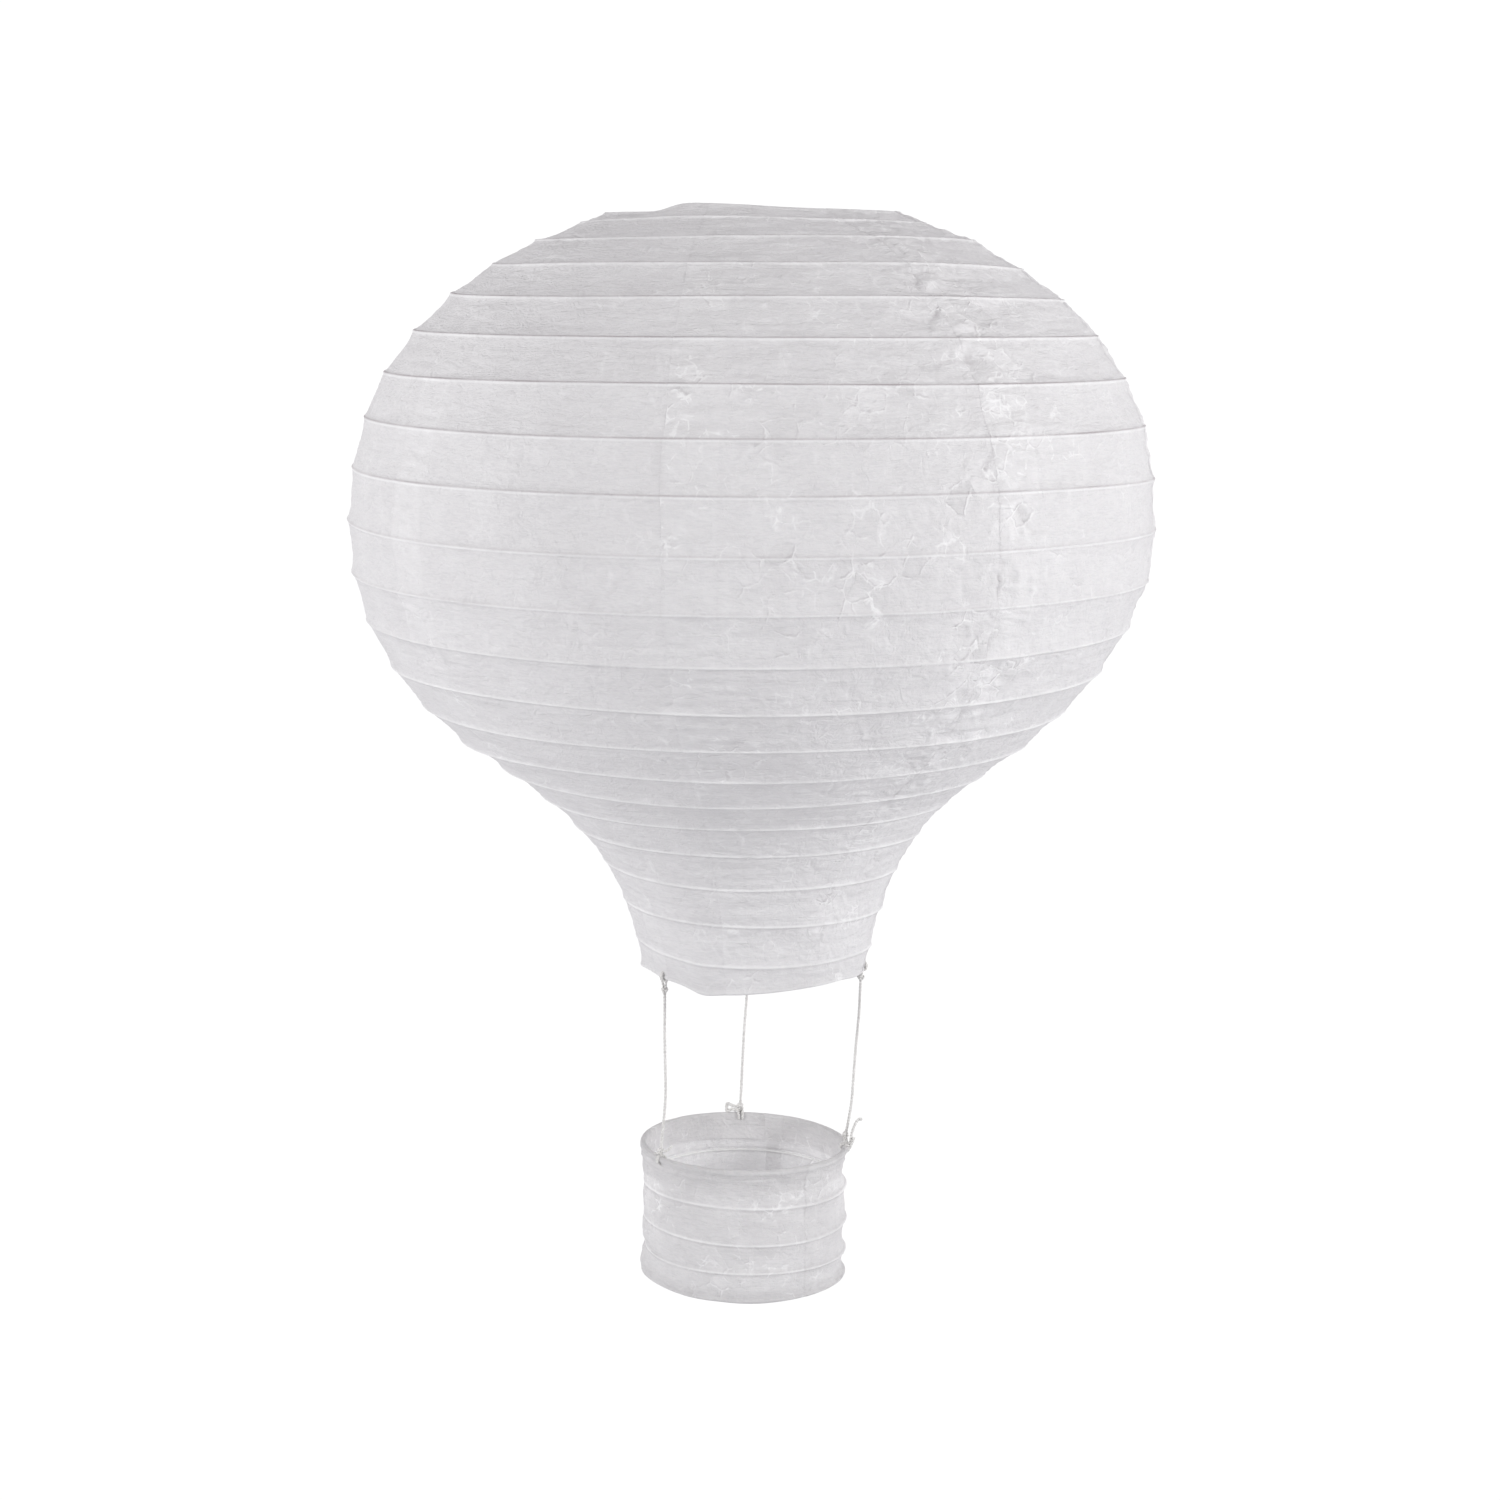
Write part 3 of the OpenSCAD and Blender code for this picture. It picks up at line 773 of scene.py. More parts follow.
def cord_material():
    m, nt, N, L = nodes_of("twisted_cotton")
    out = N.new("ShaderNodeOutputMaterial")
    tc = N.new("ShaderNodeTexCoord")
    n = N.new("ShaderNodeTexNoise")
    n.inputs["Scale"].default_value = 2400
    n.inputs["Detail"].default_value = 3
    mp = N.new("ShaderNodeMapping")
    mp.inputs["Scale"].default_value = (1, 1, 0.3)
    L.new(tc.outputs["Object"], mp.inputs["Vector"])
    L.new(mp.outputs["Vector"], n.inputs["Vector"])
    r = N.new("ShaderNodeValToRGB")
    r.color_ramp.elements[0].position = 0.3
    r.color_ramp.elements[0].color = (0.58, 0.57, 0.555, 1)
    r.color_ramp.elements[1].position = 0.65
    r.color_ramp.elements[1].color = (0.84, 0.83, 0.815, 1)
    L.new(n.outputs["Fac"], r.inputs["Fac"])
    b = N.new("ShaderNodeBump")
    b.inputs["Strength"].default_value = 0.7
    b.inputs["Distance"].default_value = 0.00012
    L.new(n.outputs["Fac"], b.inputs["Height"])
    pr = N.new("ShaderNodeBsdfPrincipled")
    L.new(r.outputs["Color"], pr.inputs["Base Color"])
    pr.inputs["Roughness"].default_value = 0.85
    pr.inputs["Specular IOR Level"].default_value = 0.2
    pr.inputs["Sheen Weight"].default_value = 0.10
    pr.inputs["Sheen Roughness"].default_value = 0.6
    L.new(b.outputs["Normal"], pr.inputs["Normal"])
    L.new(pr.outputs[0], out.inputs["Surface"])
    return m


def wire_material(name, light, dark, metallic, rough):
    m, nt, N, L = nodes_of(name)
    out = N.new("ShaderNodeOutputMaterial")
    tc = N.new("ShaderNodeTexCoord")
    n = N.new("ShaderNodeTexNoise")
    n.inputs["Scale"].default_value = 260
    n.inputs["Detail"].default_value = 5
    n.inputs["Roughness"].default_value = 0.65
    L.new(tc.outputs["Object"], n.inputs["Vector"])
    n2 = N.new("ShaderNodeTexNoise")
    n2.inputs["Scale"].default_value = 3200
    n2.inputs["Detail"].default_value = 2
    L.new(tc.outputs["Object"], n2.inputs["Vector"])
    r = N.new("ShaderNodeValToRGB")
    r.color_ramp.elements[0].position = 0.35
    r.color_ramp.elements[0].color = (*dark, 1)
    r.color_ramp.elements[1].position = 0.65
    r.color_ramp.elements[1].color = (*light, 1)
    L.new(n.outputs["Fac"], r.inputs["Fac"])
    rr = N.new("ShaderNodeMapRange")
    rr.inputs["To Min"].default_value = rough - 0.1
    rr.inputs["To Max"].default_value = rough + 0.15
    L.new(n.outputs["Fac"], rr.inputs["Value"])
    b = N.new("ShaderNodeBump")
    b.inputs["Strength"].default_value = 0.25
    b.inputs["Distance"].default_value = 0.00005
    L.new(n2.outputs["Fac"], b.inputs["Height"])
    pr = N.new("ShaderNodeBsdfPrincipled")
    L.new(r.outputs["Color"], pr.inputs["Base Color"])
    pr.inputs["Metallic"].default_value = metallic
    L.new(rr.outputs[0], pr.inputs["Roughness"])
    L.new(b.outputs["Normal"], pr.inputs["Normal"])
    L.new(pr.outputs[0], out.inputs["Surface"])
    return m


PAPER = paper_material("rice_paper", (0.890, 0.881, 0.885), (0.846, 0.834, 0.840), 0.34)
BASKET_PAPER = paper_material("basket_paper", (0.850, 0.840, 0.842), (0.782, 0.770, 0.775), 0.38, 1.15)
CORD = cord_material()
STEEL = wire_material("galvanised_wire", (0.62, 0.62, 0.61), (0.42, 0.42, 0.42), 1.0, 0.38)
HOOP = wire_material("hoop_wire_coated", (0.84, 0.84, 0.83), (0.76, 0.76, 0.75), 0.0, 0.45)


def finish_piece(ob, mat, body, nodes=()):
    ob.data.materials.clear()
    ob.data.materials.append(mat)
    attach(ob, body)
    if nodes:
        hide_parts(*nodes)
    return ob


# ---------------------------------------------------------------- cords
BOWS = [
    ([0, 0.30, 0.50, 0.65, 0.80, 1], [0, 0.45, 1.00, 1.40, 0.90, 0], 0.2),
    ([0, 0.23, 0.44, 0.61, 0.79, 0.92, 1], [0, 0.70, 0.65, 0.90, 1.20, 0.55, 0], -0.3),
    ([0, 0.50, 0.75, 1], [0, -0.50, -0.30, 0], 0.3),
]


def cord_route(k):
    a, b = KNOT_UP[k], KNOT_LOW[k]
    at, off, deep = BOWS[k]
    t = np.linspace(0, 1, 41)
    x = np.interp(t, at, off)
    for _ in range(3):
        x[1:-1] = (x[:-2] + 2 * x[1:-1] + x[2:]) / 4
    return a + (b - a) * t[:, None] + x[:, None] * A([1.0, 0, 0]) + deep * np.sin(math.pi * t)[:, None] * A([0, 1.0, 0])


for k in range(3):
    pts = cord_route(k)
    V, F = two_ply(pts, 0.34, 2.7, 0.7 * k, 8, 0.29)
    ob = add_mesh(f"cord_{k + 1}_strands", V, F)
    finish_piece(ob, CORD, f"cord_{k + 1}", [f"cord_{k + 1}"])


def knot_mesh(centre, size=1.0, turn=0.0, phase=0.0):
    """A small overhand knot: a trefoil of the same two-ply cord."""
    t = np.linspace(0, 2 * math.pi, 56)[:-1] + phase
    x = (np.sin(t) + 2 * np.sin(2 * t)) * 0.30
    y = (np.cos(t) - 2 * np.cos(2 * t)) * 0.30
    z = -np.sin(3 * t) * 0.62
    c, s_ = math.cos(turn), math.sin(turn)
    P = np.stack([c * x - s_ * z, y, s_ * x + c * z], -1) * size * 1.18
    # lie upright, longer along the cord
    P = P[:, [0, 2, 1]] * A([1.0, 1.0, 1.15])
    return two_ply(np.vstack([P, P[:1]]) + centre, 0.36 * size, 2.2, phase, 7, 0.25 * size)


def loop_round(wire_centre, azimuth, minor, centre_dx=0.0, lean=0.0, turns=1.0, strand=0.3, shift=0.0):
    """A loop of cord tied round a wire that runs horizontally, at this azimuth."""
    a = math.radians(azimuth)
    out = A([math.sin(a), -math.cos(a), 0])
    along = A([math.cos(a), math.sin(a), 0])
    t = np.linspace(0, 2 * math.pi * turns, int(30 * turns) + 1)
    P = (wire_centre + along[None] * ((t / (2 * math.pi * turns) - 0.5) * lean + shift)[:, None]
         + minor * (np.cos(t + math.pi / 2)[:, None] * out[None] + np.sin(t + math.pi / 2)[:, None] * A([0, 0, 1.0])[None]))
    return two_ply(P, strand, 2.2, 0.3, 7, 0.26)


def tail(points, strand=0.31, n=30):
    return two_ply(spline(points, n), strand, 2.4, 0.2, 7, 0.26)


# ---------------------------------------------------------------- envelope: eight gores, glued at their overlaps
def gore_angles(k):
    return math.radians(-8 + 45 * (k - 1)), math.radians(-8 + 45 * k)


def edge_wander(s, seed):
    return 0.45 * np.sin(s / 23.0 + seed) + 0.3 * np.sin(s / 7.3 + 2.1 * seed)


FACES_AREA = {}
for k in range(1, 9):
    a0, a1 = gore_angles(k)
    hem_in = A([-9.5, -7.5, -5.5, -3.8, -2.6, -2.0, -1.4, -0.8, -0.3])
    hem_out = TOTAL + A([0.3, 0.9, 1.5, 2.1, 3.0, 4.4, 6.2, 8.0])
    S = np.r_[hem_in, GS, hem_out]
    core = np.clip(S, 0, TOTAL)
    R = np.interp(core, run, path[:, 0])
    half = strip_width(core) / 2
    left = a0 - (half + edge_wander(core, k)) / R
    right = a1 + (half + edge_wander(core, k + 11)) / R
    in_l = a0 + (half + edge_wander(core, k + 10)) / R      # where the neighbour's edge ends below this one
    in_r = a1 - (half + edge_wander(core, k + 1)) / R       # where the next gore's edge lies on this one
    n1 = 11
    n2 = (NPHI // 8) - n1
    u1 = np.linspace(0, 1, n1 + 1)[:-1]
    u2 = np.linspace(0, 1, n2 + 1)[:-1]
    u3 = np.linspace(0, 1, n1 + 1)
    PH = np.concatenate([left[None] + (in_l - left)[None] * u1[:, None], in_l[None] + (in_r - in_l)[None] * u2[:, None], in_r[None] + (right - in_r)[None] * u3[:, None]])
    SS = np.broadcast_to(S, PH.shape)
    RR = np.broadcast_to(R, PH.shape)
    step = 1.1
    lift = 0.06 * (1 - smooth(0, step, (PH - in_l[None]) * RR)) - 0.06 * smooth(-step, 0, (PH - in_r[None]) * RR)
    # a glued edge curls up a little here and there
    edge = np.exp(-((PH - left[None]) * RR / 1.3) ** 2)
    lift = lift + edge * 0.10 * np.clip(noise3(np.sin(PH) * 3 + k, SS / 13.0, SS * 0 + k, 21) + 0.05, 0, 1)
    P = envelope_point(PH, SS, lift)
    nu, nv = PH.shape
    # the plain shape gives the paper its own texture coordinates
    rest = np.stack([RR * np.sin(PH), -RR * np.cos(PH), SS], -1) * MM
    # the painted crease shade and highlight, sampled for this sheet
    crease_shading_values = sample_relief(PH, np.clip(SS, 0, TOTAL), CREASE_SHADING)
    ob = add_mesh(f"gore_sheet_{k}", P.reshape(-1, 3), grid_faces(nu, nv), attrs={"rest": rest.reshape(-1, 3) + A([0.011 * k, 0.007 * k, 0]), "crease_shading": crease_shading_values.reshape(-1),
                 **{n: v.reshape(-1, 3) for n, v in zip(("rib", "painted_shading", "soft"), rib_shading_attributes(PH, np.clip(SS, 0, TOTAL)))}})
    finish_piece(ob, PAPER, "frame", [f"gore_{k}"])
    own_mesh(ob)


# ---------------------------------------------------------------- hoops and rings inside the paper
def ring_dims(node):
    lo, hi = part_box(node)
    wire = (hi.z - lo.z) / MM
    return ((hi.x - lo.x) / 2 / MM) - wire / 2, (hi.z + lo.z) / 2 / MM, wire, (hi.x + lo.x) / 2 / MM


def bent_ring(name, node, body, dz, dr, joint, mat, n=220, sides=8):
    r, z, wire, cx = ring_dims(node)
    ph = np.linspace(-math.pi, math.pi, n, endpoint=False)
    rr = r + dr(ph)
    P = np.stack([cx + rr * np.sin(ph), -rr * np.cos(ph), z + dz(ph)], -1)
    V, F = tube(P, wire / 2, sides, closed=True)
    ob = add_mesh(name, V, F)
    finish_piece(ob, mat, body, [node])
    if joint:
        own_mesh(ob)
    return ob


for i in range(1, 21):
    node = f"rib_hoop_{i:02d}"
    bent_ring(f"hoop_wire_{i:02d}", node, node, lambda p, i=i: hoop_dz(i, p), lambda p, i=i: hoop_dr(i, p), "envelope_fold", HOOP)
bent_ring("top_ring_wire", "top_ring", "top_ring", lambda p: hoop_dz(0, p) + lip(p), lambda p: hoop_dr(0, p), "envelope_fold", HOOP)
bent_ring("neck_ring_wire", "neck_ring", "frame", lambda p: hoop_dz(21, p) + hem(p), lambda p: hoop_dr(21, p), "envelope_fold", HOOP)
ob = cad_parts["hanger_bar"]
ob.data.materials.clear()
ob.data.materials.append(STEEL)
for node, side in (("left_leg", -1), ("right_leg", 1)):
    # the spreader's wire, sprung into both rings; its arms reach the top ring where that hangs
    lo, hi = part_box(node)
    tip = max(abs(lo.x), abs(hi.x)) / MM - 0.9
    foot_z = lo.z / MM + 0.9
    arm_z = hi.z / MM - 0.9 + float(lip(A([side * math.pi / 2]))[0])
    corner = [A([side * 41.4, 0, foot_z]), A([side * 37, 0, foot_z]), A([side * 37, 0, -9.5]), A([side * tip, 0, arm_z])]
    pts = [corner[0]]
    for q in (1, 2):
        a, b, c = corner[q - 1], corner[q], corner[q + 1]
        r0 = 2.4
        p1, p2 = b + (a - b) / np.linalg.norm(a - b) * r0, b + (c - b) / np.linalg.norm(c - b) * r0
        pts += [(1 - u) ** 2 * p1 + 2 * u * (1 - u) * b + u * u * p2 for u in np.linspace(0, 1, 9)]
        if q == 1:
            pts += [p2 + (corner[2] - p2) * u * 0.98 for u in np.linspace(0.05, 0.95, 24)]
    pts.append(corner[3])
    V, F = tube(pts, 0.8, 14)
    ob = add_mesh(f"{node}_wire", V, F)
    finish_piece(ob, STEEL, "frame", [node])

# ---------------------------------------------------------------- ties and knots at the neck
def neck_at(azimuth):
    ph = math.radians(azimuth)
    r, z, wire, _ = ring_dims("neck_ring")
    rr = r + float(hoop_dr(21.0, A([ph]))[0])
    return A([rr * math.sin(ph), -rr * math.cos(ph), z + float(hoop_dz(21.0, A([ph]))[0]) + float(hem(A([ph]))[0])])


parts = []
for k in range(3):
    c = neck_at(TIE_AT[k])
    a = math.radians(TIE_AT[k])
    out = A([math.sin(a), -math.cos(a), 0])
    along = A([math.cos(a), math.sin(a), 0])
    minor = 0.7 + 0.55 + 0.45
    parts.append(loop_round(c + out * 0.15, TIE_AT[k], minor, lean=0.9, shift=-0.5))
    parts.append(loop_round(c + out * 0.15, TIE_AT[k], minor + 0.05, lean=-0.8, shift=0.7))
    # the two ends run down from the loops into the knot
    top = KNOT_UP[k] + A([0, 0, 0.4])
    wide = [2.0, 3.6, 1.4][k]
    for side in (-1, 1):
        q = c + along * side * wide * 0.62 + A([0, 0, -1.55]) + out * 0.5
        parts.append(tail([q + A([0, 0, 0.5]), q + (top - q) * 0.35 + along * side * 0.2, top + along * side * 0.35], 0.28, 14))
V, F = joined(parts)
ob = add_mesh("neck_tie_loops", V, F)
finish_piece(ob, CORD, "frame", ["neck_ties"])
for k in range(3):
    V, F = knot_mesh(KNOT_UP[k], 0.92, 0.4 * k, 0.5 * k)
    ob = add_mesh(f"neck_knot_{k + 1}_cord", V, F)
    finish_piece(ob, CORD, f"neck_knot_{k + 1}", [f"neck_knot_{k + 1}"])

# ---------------------------------------------------------------- basket
BT = [1.4, 1.6, 1.4, 1.8, 1.3]          # how crooked the rim, the three hoops and the bottom ring hang, in degrees
BDX = [0.0, 0.35, 0.35, 0.1, -0.1]       # and how far they sit to the right
B_Z = [RIM_Z] + [RIM_Z - d for d in BASKET_STEPS] + [BASE_Z + 0.7]
BW = A([[0.15, 0.5], [0.35, 2.2], [0.35, 4.0], [0.40, 1.0], [0.35, 5.1]])


def basket_dz(j, phi):
    """j is 0 at the rim, 1 to 3 at the hoops and 4 at the bottom ring; real numbers lie between."""
    j = np.asarray(j, float)
    i = np.clip(np.floor(j).astype(int), 0, 3)
    f = np.clip(j - i, 0, 1)
    tilt, wav = A(BT), BW
    t = np.tan(np.radians(tilt[i] * (1 - f) + tilt[i + 1] * f))
    w = wav[i, 0] * (1 - f) * np.sin(2 * phi + wav[i, 1]) + wav[i + 1, 0] * f * np.sin(2 * phi + wav[i + 1, 1])
    return -RIM_R * np.sin(phi) * t + w


def basket_dr(j, phi):
    j = np.asarray(j, float)
    dx = np.interp(j, np.arange(5), BDX)
    return dx * np.sin(phi)


bn = 46
B_S = [0.0, 14.6, 28.6, 40.1, 51.1]      # paper length from the middle of the rim's outside down to each hoop


def basket_rows():
    rows = [(-1.0 + i / 6.0) for i in range(6)]          # the hem inside: -1 to 0
    rows += [i / 12.0 for i in range(12)]      # over the rim: 0 to 1
    per = 22
    for b in range(4):
        u = np.arange(per) / per
        t = u - 0.5 * np.sin(2 * math.pi * u) / (2 * math.pi)
        rows += list(1 + b + t)
    rows += [5.0, 5.12, 5.25, 5.4, 5.6, 5.8, 6.0]         # round the bottom ring and up inside
    return A(rows)


def basket_point(PH, Q, lift):
    r = np.zeros_like(PH)
    z = np.zeros_like(PH)
    wrapr = 1.28
    # hem inside
    m = Q < 0
    r = np.where(m, RIM_R - wrapr - 0.05 + 0.35 * Q, r)
    z = np.where(m, RIM_Z + 9.0 * Q, z)
    # over the rim wire, from the inside to the outside, down to the pinch below it
    m = (Q >= 0) & (Q < 1)
    a = math.pi - (math.pi + 0.95) * np.clip(Q, 0, 1)
    r = np.where(m, RIM_R + wrapr * np.cos(a), r)
    z = np.where(m, RIM_Z + wrapr * np.sin(a), z)
    # the four bands
    j = np.clip(Q - 1, 0, 4)
    b = np.clip(np.floor(j).astype(int), 0, 3)
    t = j - b
    knots_r = A([RIM_R + wrapr * math.cos(-0.95), RIM_R - 0.02, RIM_R - 0.02, RIM_R - 0.02, RIM_R - 0.05])
    knots_z = A([RIM_Z - wrapr * math.sin(0.95)] + B_Z[1:])
    chord_r = knots_r[b] * (1 - t) + knots_r[b + 1] * t
    chord_z = knots_z[b] * (1 - t) + knots_z[b + 1] * t
    m = (Q >= 1) & (Q <= 5)
    r = np.where(m, chord_r, r)
    z = np.where(m, chord_z, z)
    # round the bottom ring
    over = np.clip(Q - 5, 0, 1)
    turn = np.clip(over / 0.4, 0, 1) * math.pi
    m = Q > 5
    r = np.where(m, RIM_R - 0.05 - 0.85 * (1 - np.cos(turn)), r)
    z = np.where(m, B_Z[4] - 0.85 * np.sin(turn) + 5.5 * np.clip(over - 0.4, 0, 1), z)
    # how the bands hang between the hoops: drawn in on the right, loose on the left
    X, Y = RIM_R * np.sin(PH), -RIM_R * np.cos(PH)
    inside = (Q >= 1) & (Q <= 5)
    bulge = 4 * t * (1 - t)
    left = 0.5 - 0.5 * np.sin(PH)
    amp = -1.25 * (1 - left) + 0.40 * left + 1.1 * noise3(X / 26, Y / 26, b * 2.7, 31)
    amp = amp - 0.55 * (b == 0)
    d = np.minimum(t, 1 - t) * 12.0
    soft = 1 - np.exp(-np.maximum(d, 0) / 1.5)
    h = amp * (0.55 * bulge + 0.45 * soft)
    # the slack pouch at the lower left
    pouch = np.exp(-(wrap(PH + math.radians(82)) / 0.55) ** 2) * (b == 3)
    h = h + pouch * (1.15 * np.exp(-((t - 0.80) / 0.26) ** 2) - 0.8 * np.exp(-(t / 0.16) ** 2))
    notch = np.exp(-(wrap(PH + math.radians(85)) / 0.6) ** 2) * ((b == 2) & (t > 0.5))
    h = h - notch * 0.9 * smooth(0.6, 1.0, t)
    # the paper stands out a little over each wire
    h = h + 0.42 * np.exp(-(d / 0.75) ** 2) * (b + np.round(t) > 0)
    # a faint second line just under the rim, where the paper's edge is folded in
    h = h + np.where(b == 0, 0.42 * np.exp(-((t * 14.6 - 2.6) / 0.55) ** 2), 0)
    free = 1 - np.exp(-(d / 1.6) ** 2)
    Z = z
    wx = 6 * noise3(X / 20, Y / 20, Z / 20, 33)
    wy = 6 * noise3(X / 20, Y / 20, Z / 20, 34)
    n1 = noise3((X + wx) / 13, (Y + wy) / 13, (Z + wx) / 11, 35)
    n2 = noise3((X - wy) / 6.2, (Y + wx) / 6.2, (Z + wy) / 5.4, 36)
    n3 = noise3((X + wy) / 3.0, (Y - wx) / 3.0, (Z - wx) / 2.7, 37)
    h = h + free * (1.30 * (0.2 - np.abs(n1)) + 0.75 * (0.2 - np.abs(n2)) + 0.28 * (0.2 - np.abs(n3)) + 0.7 * noise3(X / 18, Y / 18, Z / 12, 38))
    v = noise3(X / 2.6, Y / 2.6, b * 3.1, 39)
    h = h + 0.30 * v * np.exp(-((d - 1.4) / 1.7) ** 2) * (1 - np.exp(-(d / 0.6) ** 2))
    r = r + np.where(inside, h, 0)
    # uneven wrapping of the rim
    rimny = np.exp(-((Q - 0.5) / 0.45) ** 2)
    r = r + rimny * 0.22 * noise3(X / 5, Y / 5, Q * 1.5, 40)
    z = z + rimny * 0.22 * noise3(X / 6, Y / 6, Q * 1.5, 41)
    r = r + lift
    r = r + basket_dr(np.clip(Q - 1, 0, 4), PH)
    z = z + basket_dz(np.clip(Q - 1, 0, 4), PH)
    # the bottom edge is cut a little unevenly
    z = z + np.where(Q > 3.9, 0.45 * noise3(X / 16, Y / 16, Z * 0, 42) * np.clip(Q - 4, 0, 1), 0)
    return np.stack([BASKET_X + r * np.sin(PH), -r * np.cos(PH), z], -1)


Q = basket_rows()
for k in range(1, 4):
    a0, a1 = math.radians(42 + 120 * (k - 1)), math.radians(42 + 120 * k)
    half = 3.6 / RIM_R
    wob = 0.35 * np.sin(Q * 2.4 + k) / RIM_R
    left, right = a0 - half + wob, a1 + half + wob
    ncol = 132
    u = np.linspace(0, 1, ncol)[:, None]
    PH = left[None] + (right - left)[None] * u
    QQ = np.broadcast_to(Q, PH.shape).copy()
    lift = 0.10 * (1 - smooth(0, 0.9, (PH - (a0 + half)) * RIM_R)) - 0.10 * smooth(-0.9, 0, (PH - (a1 - half)) * RIM_R)
    P = basket_point(PH, QQ, lift)
    depth = np.interp(Q, [-1, 0, 1, 2, 3, 4, 5, 5.4, 6], [-9, 0, 5.2, 19.0, 33.0, 44.5, 55.5, 58.2, 61.5])
    rest = np.stack([RIM_R * np.sin(PH), -RIM_R * np.cos(PH), np.broadcast_to(depth, PH.shape)], -1) * MM
    j = np.clip(QQ - 1, 0, 4)
    away = np.abs(j - np.round(j)) * 13.5
    # painted highlight along each basket hoop and painted shade just below it, in patches
    on = ((j > 0.5) & (j < 3.7)) * np.clip(0.85 + 0.9 * noise3(PH * 3, j * 0, np.round(j) * 3.1, 44), 0.3, 1.3)
    double = 1 - smooth(half * RIM_R - 0.4, half * RIM_R + 0.4, np.minimum(np.abs(PH - a0), np.abs(PH - a1)) * RIM_R)
    # where the painted crease highlights, crease shadows and facet shading show
    wild = 0.75 * np.clip(0.9 + 0.9 * noise3(PH * 2.5, j * 1.1, j * 0 + k, 45), 0.2, 1.5)
    basket_shading_attributes = {"rib": np.stack([away, np.sin(2 * math.pi * j), 0 * j - 0.1], -1), "painted_shading": np.stack([0.05 * on, 0.95 * on, 0.75 * on], -1),
             "soft": np.stack([wild, double, 0 * j], -1)}
    ob = add_mesh(f"basket_sheet_{k}", P.reshape(-1, 3), grid_faces(*PH.shape),
                  attrs={"rest": rest.reshape(-1, 3) + A([0.02 * k, 0.3, 0.01 * k]), "crease_shading": 0 * j.reshape(-1), **{n: v.reshape(-1, 3) for n, v in basket_shading_attributes.items()}})
    finish_piece(ob, BASKET_PAPER, "basket", [f"basket_panel_{k}"])
    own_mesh(ob)

bent_ring("basket_rim_wire", "basket_rim", "basket", lambda p: basket_dz(0, p), lambda p: basket_dr(0, p), "basket_fold", HOOP, n=140)
for i in range(1, 4):
    bent_ring(f"basket_hoop_wire_{i}", f"basket_hoop_{i}", f"basket_hoop_{i}", lambda p, i=i: basket_dz(i, p), lambda p, i=i: basket_dr(i, p), "basket_fold", HOOP, n=140)
bent_ring("basket_base_wire", "basket_base_ring", "basket_base_ring", lambda p: basket_dz(4, p), lambda p: basket_dr(4, p), "basket_fold", HOOP, n=140)


def rim_at(azimuth):
    ph = math.radians(azimuth)
    return A([BASKET_X + RIM_R * math.sin(ph), -RIM_R * math.cos(ph), RIM_Z + float(basket_dz(0.0, A([ph]))[0])])


parts = []
for k in range(3):
    c = rim_at(RIM_AT[k])
    a = math.radians(RIM_AT[k])
    out = A([math.sin(a), -math.cos(a), 0])
    along = A([math.cos(a), math.sin(a), 0])
    parts.append(loop_round(c, RIM_AT[k], 1.28 + 0.42, lean=0.8, shift=-0.5))
    parts.append(loop_round(c, RIM_AT[k], 1.28 + 0.45, lean=-0.7, shift=0.6))
    top = KNOT_LOW[k] - A([0, 0, 0.5])
    for side in (-1, 1):
        q = c + along * side * 0.8 + A([0, 0, 1.6])
        parts.append(tail([q - A([0, 0, 0.4]), q + (top - q) * 0.5 + along * side * 0.15, top + along * side * 0.2], 0.28, 12))
V, F = joined(parts)
ob = add_mesh("basket_tie_loops", V, F)
finish_piece(ob, CORD, "basket", ["basket_ties"])

# knots on the basket, each with its loose ends
K = KNOT_LOW
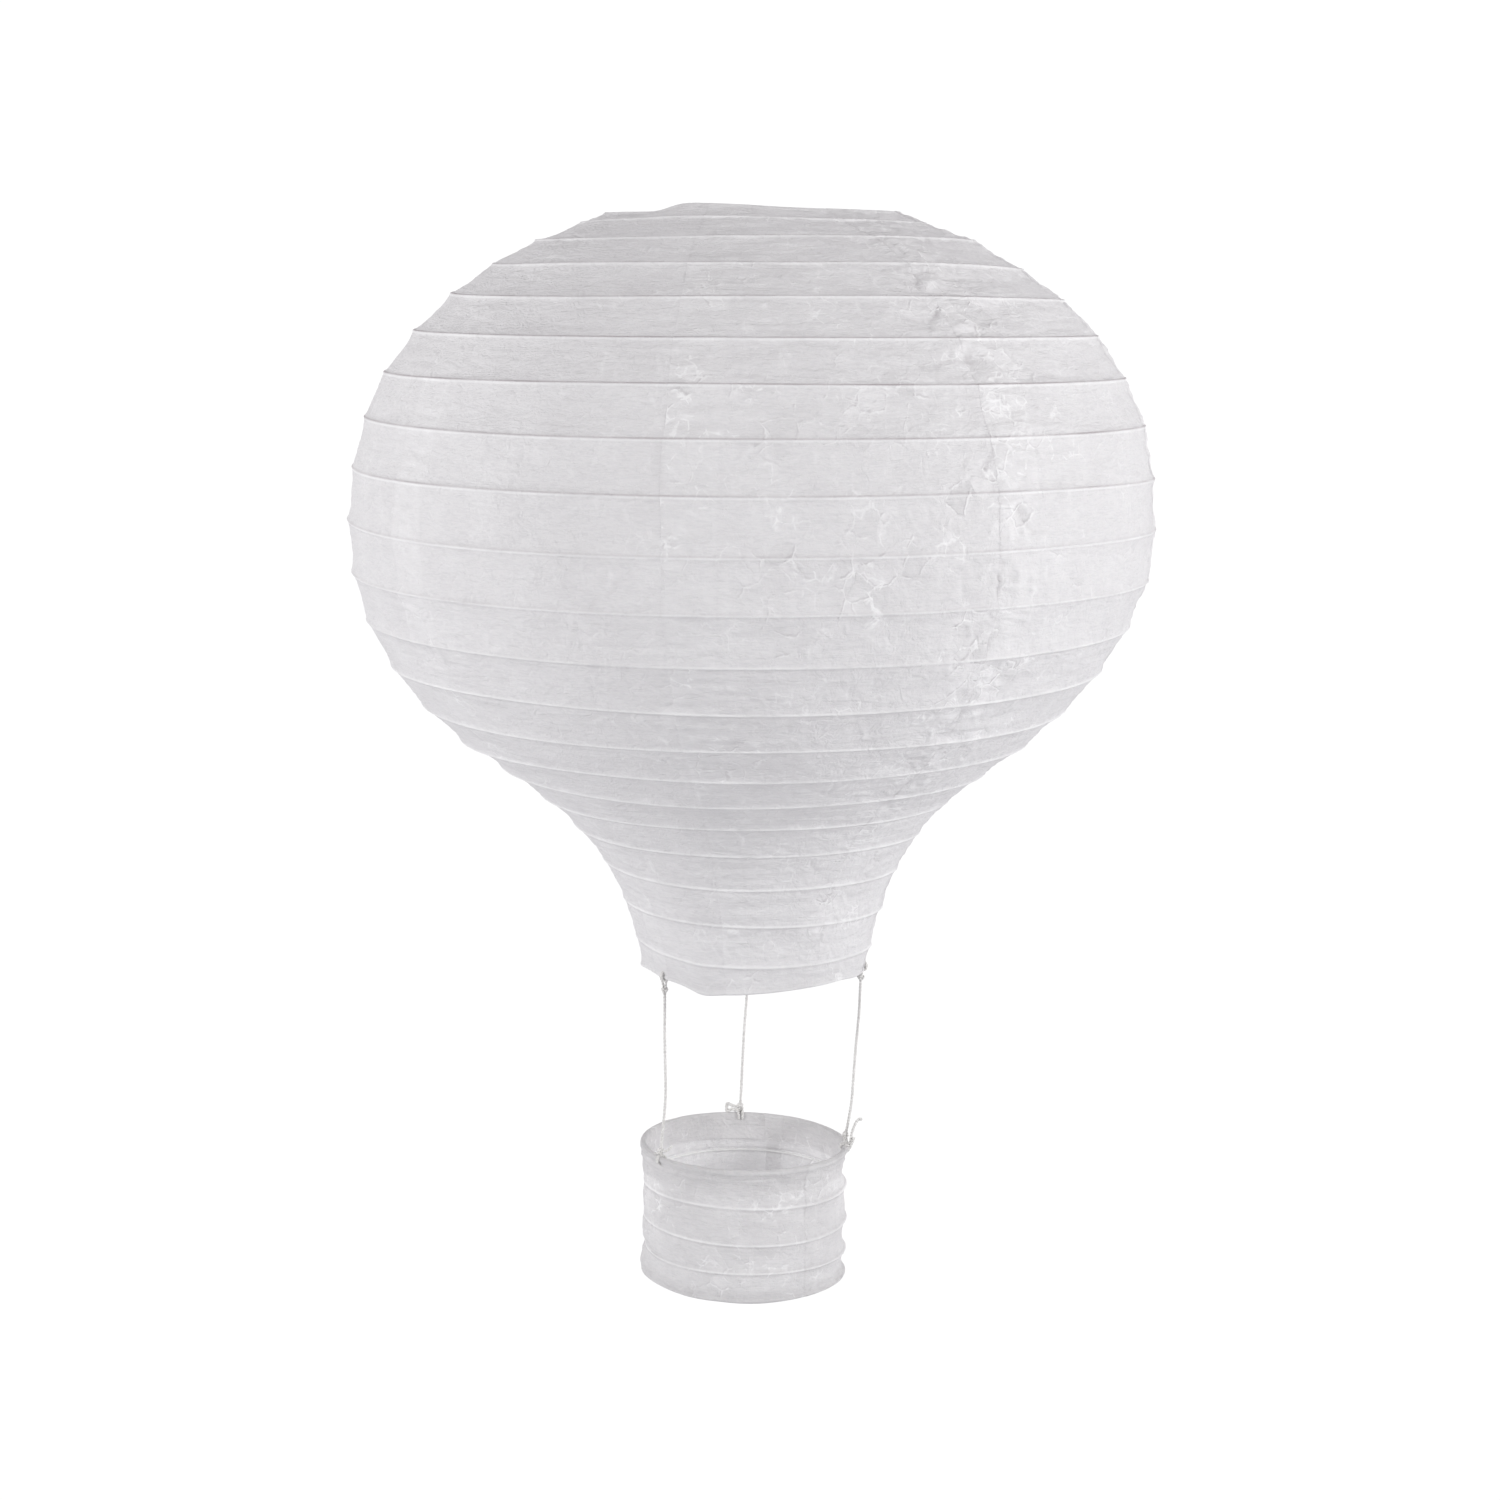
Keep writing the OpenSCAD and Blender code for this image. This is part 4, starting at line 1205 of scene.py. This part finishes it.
# the right-hand knot is pulled down to the outside of the rim
KR = K[1] + A([0.9, -1.4, -4.3])
ends = {
    1: [tail([K[0] + A([0.3, -0.5, 0.0]), K[0] + A([1.8, -0.9, 0.3]), K[0] + A([3.2, -0.6, 0.9]), K[0] + A([4.3, 0.2, 2.0])], 0.26, 20),
        tail([K[0] + A([-0.3, -0.5, -0.2]), K[0] + A([-1.3, -1.3, -0.5]), K[0] + A([-2.2, -1.2, -0.2])], 0.26, 14)],
    2: [tail([K[1] + A([0, 0, 0.8]), K[1] + A([0.3, -0.4, -1.2]), K[1] + A([0.6, -0.9, -2.8]), KR], 0.36, 24),
        tail([K[1] + A([-0.5, 0, -0.2]), K[1] + A([-0.2, -0.5, -1.9]), KR + A([-0.3, 0.2, 0.2])], 0.34, 18),
        tail([KR + A([0.2, -0.2, 0.3]), KR + A([1.0, -0.6, 2.6]), KR + A([1.4, -0.7, 4.9]), KR + A([2.1, -0.6, 7.4]), KR + A([3.2, -0.5, 10.0]), KR + A([4.6, -0.4, 11.3]), KR + A([5.4, -0.4, 10.9])], 0.36, 44),
        tail([KR + A([0.3, -0.3, 0.0]), KR + A([1.4, -1.0, 1.4]), KR + A([2.2, -1.3, 3.6]), KR + A([2.3, -1.4, 4.2])], 0.38, 18),
        knot_mesh(KR, 1.0, 0.5, 0.3)],
    3: [tail([K[2] + A([0.2, -0.3, 0.4]), K[2] + A([-0.4, -0.8, 0.6]), K[2] + A([-2.0, -1.0, 0.2]), K[2] + A([-4.0, -0.9, 0.9]), K[2] + A([-5.2, -0.8, 1.4]), K[2] + A([-5.5, -0.7, -0.6])], 0.42, 36),
        tail([K[2] + A([-0.3, -0.3, -0.6]), K[2] + A([-1.8, -0.9, -1.4]), K[2] + A([-3.4, -1.0, -0.9]), K[2] + A([-5.0, -0.8, -1.7]), K[2] + A([-5.5, -0.7, -1.9]), K[2] + A([-5.6, -0.7, 0.4])], 0.42, 36)],
}
for k in range(3):
    V, F = joined([knot_mesh(K[k], 0.95, 0.9 * k, 0.8 + k)] + ends[k + 1])
    ob = add_mesh(f"basket_knot_{k + 1}_cord", V, F)
    finish_piece(ob, CORD, "basket_knot_1" if k == 0 else "basket", [f"basket_knot_{k + 1}"])

# ---------------------------------------------------------------- floor, light
mf, nt, N, L = nodes_of("pale_floor")
out = N.new("ShaderNodeOutputMaterial")
em = N.new("ShaderNodeEmission")
em.inputs["Color"].default_value = (1, 1, 1, 1)
em.inputs["Strength"].default_value = 1.05
em2 = N.new("ShaderNodeEmission")
em2.inputs["Color"].default_value = (0.97, 0.97, 1, 1)
em2.inputs["Strength"].default_value = 0.80
lp = N.new("ShaderNodeLightPath")
mx = N.new("ShaderNodeMixShader")
L.new(lp.outputs["Is Camera Ray"], mx.inputs[0])
L.new(em2.outputs[0], mx.inputs[1])
L.new(em.outputs[0], mx.inputs[2])
L.new(mx.outputs[0], out.inputs["Surface"])
bpy.ops.mesh.primitive_plane_add(size=60, location=(0, 0, -0.72))
floor = bpy.context.active_object
floor.name = "floor"
floor.data.materials.append(mf)

world = bpy.data.worlds.new("studio")
bpy.context.scene.world = world
world.use_nodes = True
nt = world.node_tree
nt.nodes.clear()
N, L = nt.nodes, nt.links
wo = N.new("ShaderNodeOutputWorld")
white = N.new("ShaderNodeBackground")
white.inputs["Color"].default_value = (1, 1, 1, 1)
white.inputs["Strength"].default_value = 1.05
soft = N.new("ShaderNodeBackground")
tc = N.new("ShaderNodeTexCoord")
sp = N.new("ShaderNodeSeparateXYZ")
L.new(tc.outputs["Generated"], sp.inputs[0])
rp = N.new("ShaderNodeValToRGB")
mr = N.new("ShaderNodeMapRange")
mr.inputs["From Min"].default_value = -1
L.new(sp.outputs["Z"], mr.inputs["Value"])
L.new(mr.outputs[0], rp.inputs["Fac"])
e = rp.color_ramp.elements
e[0].position, e[0].color = 0.0, (0.605, 0.60, 0.60, 1)
e[1].position, e[1].color = 1.0, (0.455, 0.43, 0.44, 1)
x = e.new(0.50)
x.color = (0.95, 0.95, 0.95, 1)
x = e.new(0.72)
x.color = (0.72, 0.72, 0.74, 1)
L.new(rp.outputs["Color"], soft.inputs["Color"])
rear = N.new("ShaderNodeMapRange")
rear.inputs["From Min"].default_value = -1
rear.inputs["To Min"].default_value = 0.56
rear.inputs["To Max"].default_value = 1.10
L.new(sp.outputs["Y"], rear.inputs["Value"])
L.new(rear.outputs[0], soft.inputs["Strength"])
lp = N.new("ShaderNodeLightPath")
mx = N.new("ShaderNodeMixShader")
L.new(lp.outputs["Is Camera Ray"], mx.inputs[0])
L.new(soft.outputs[0], mx.inputs[1])
L.new(white.outputs[0], mx.inputs[2])
L.new(mx.outputs[0], wo.inputs["Surface"])


def area_light(name, place, target, size, power, colour=(1, 1, 1)):
    li = bpy.data.lights.new(name, "AREA")
    li.shape = "SQUARE"
    li.size = size
    li.energy = power
    li.color = colour
    ob = bpy.data.objects.new(name, li)
    bpy.context.scene.collection.objects.link(ob)
    ob.location = place
    ob.rotation_euler = (Vector(target) - Vector(place)).to_track_quat("-Z", "Y").to_euler()
    return ob


area_light("key", (1.15, -0.66, 0.18), (0, 0, -0.12), 0.32, 10.2)
area_light("fill", (-1.18, -0.62, 0.16), (0, 0, -0.12), 0.42, 8.4)

sc = bpy.context.scene
sc.view_settings.view_transform = "Standard"
sc.view_settings.look = "None"
sc.view_settings.exposure = 0
sc.view_settings.gamma = 1
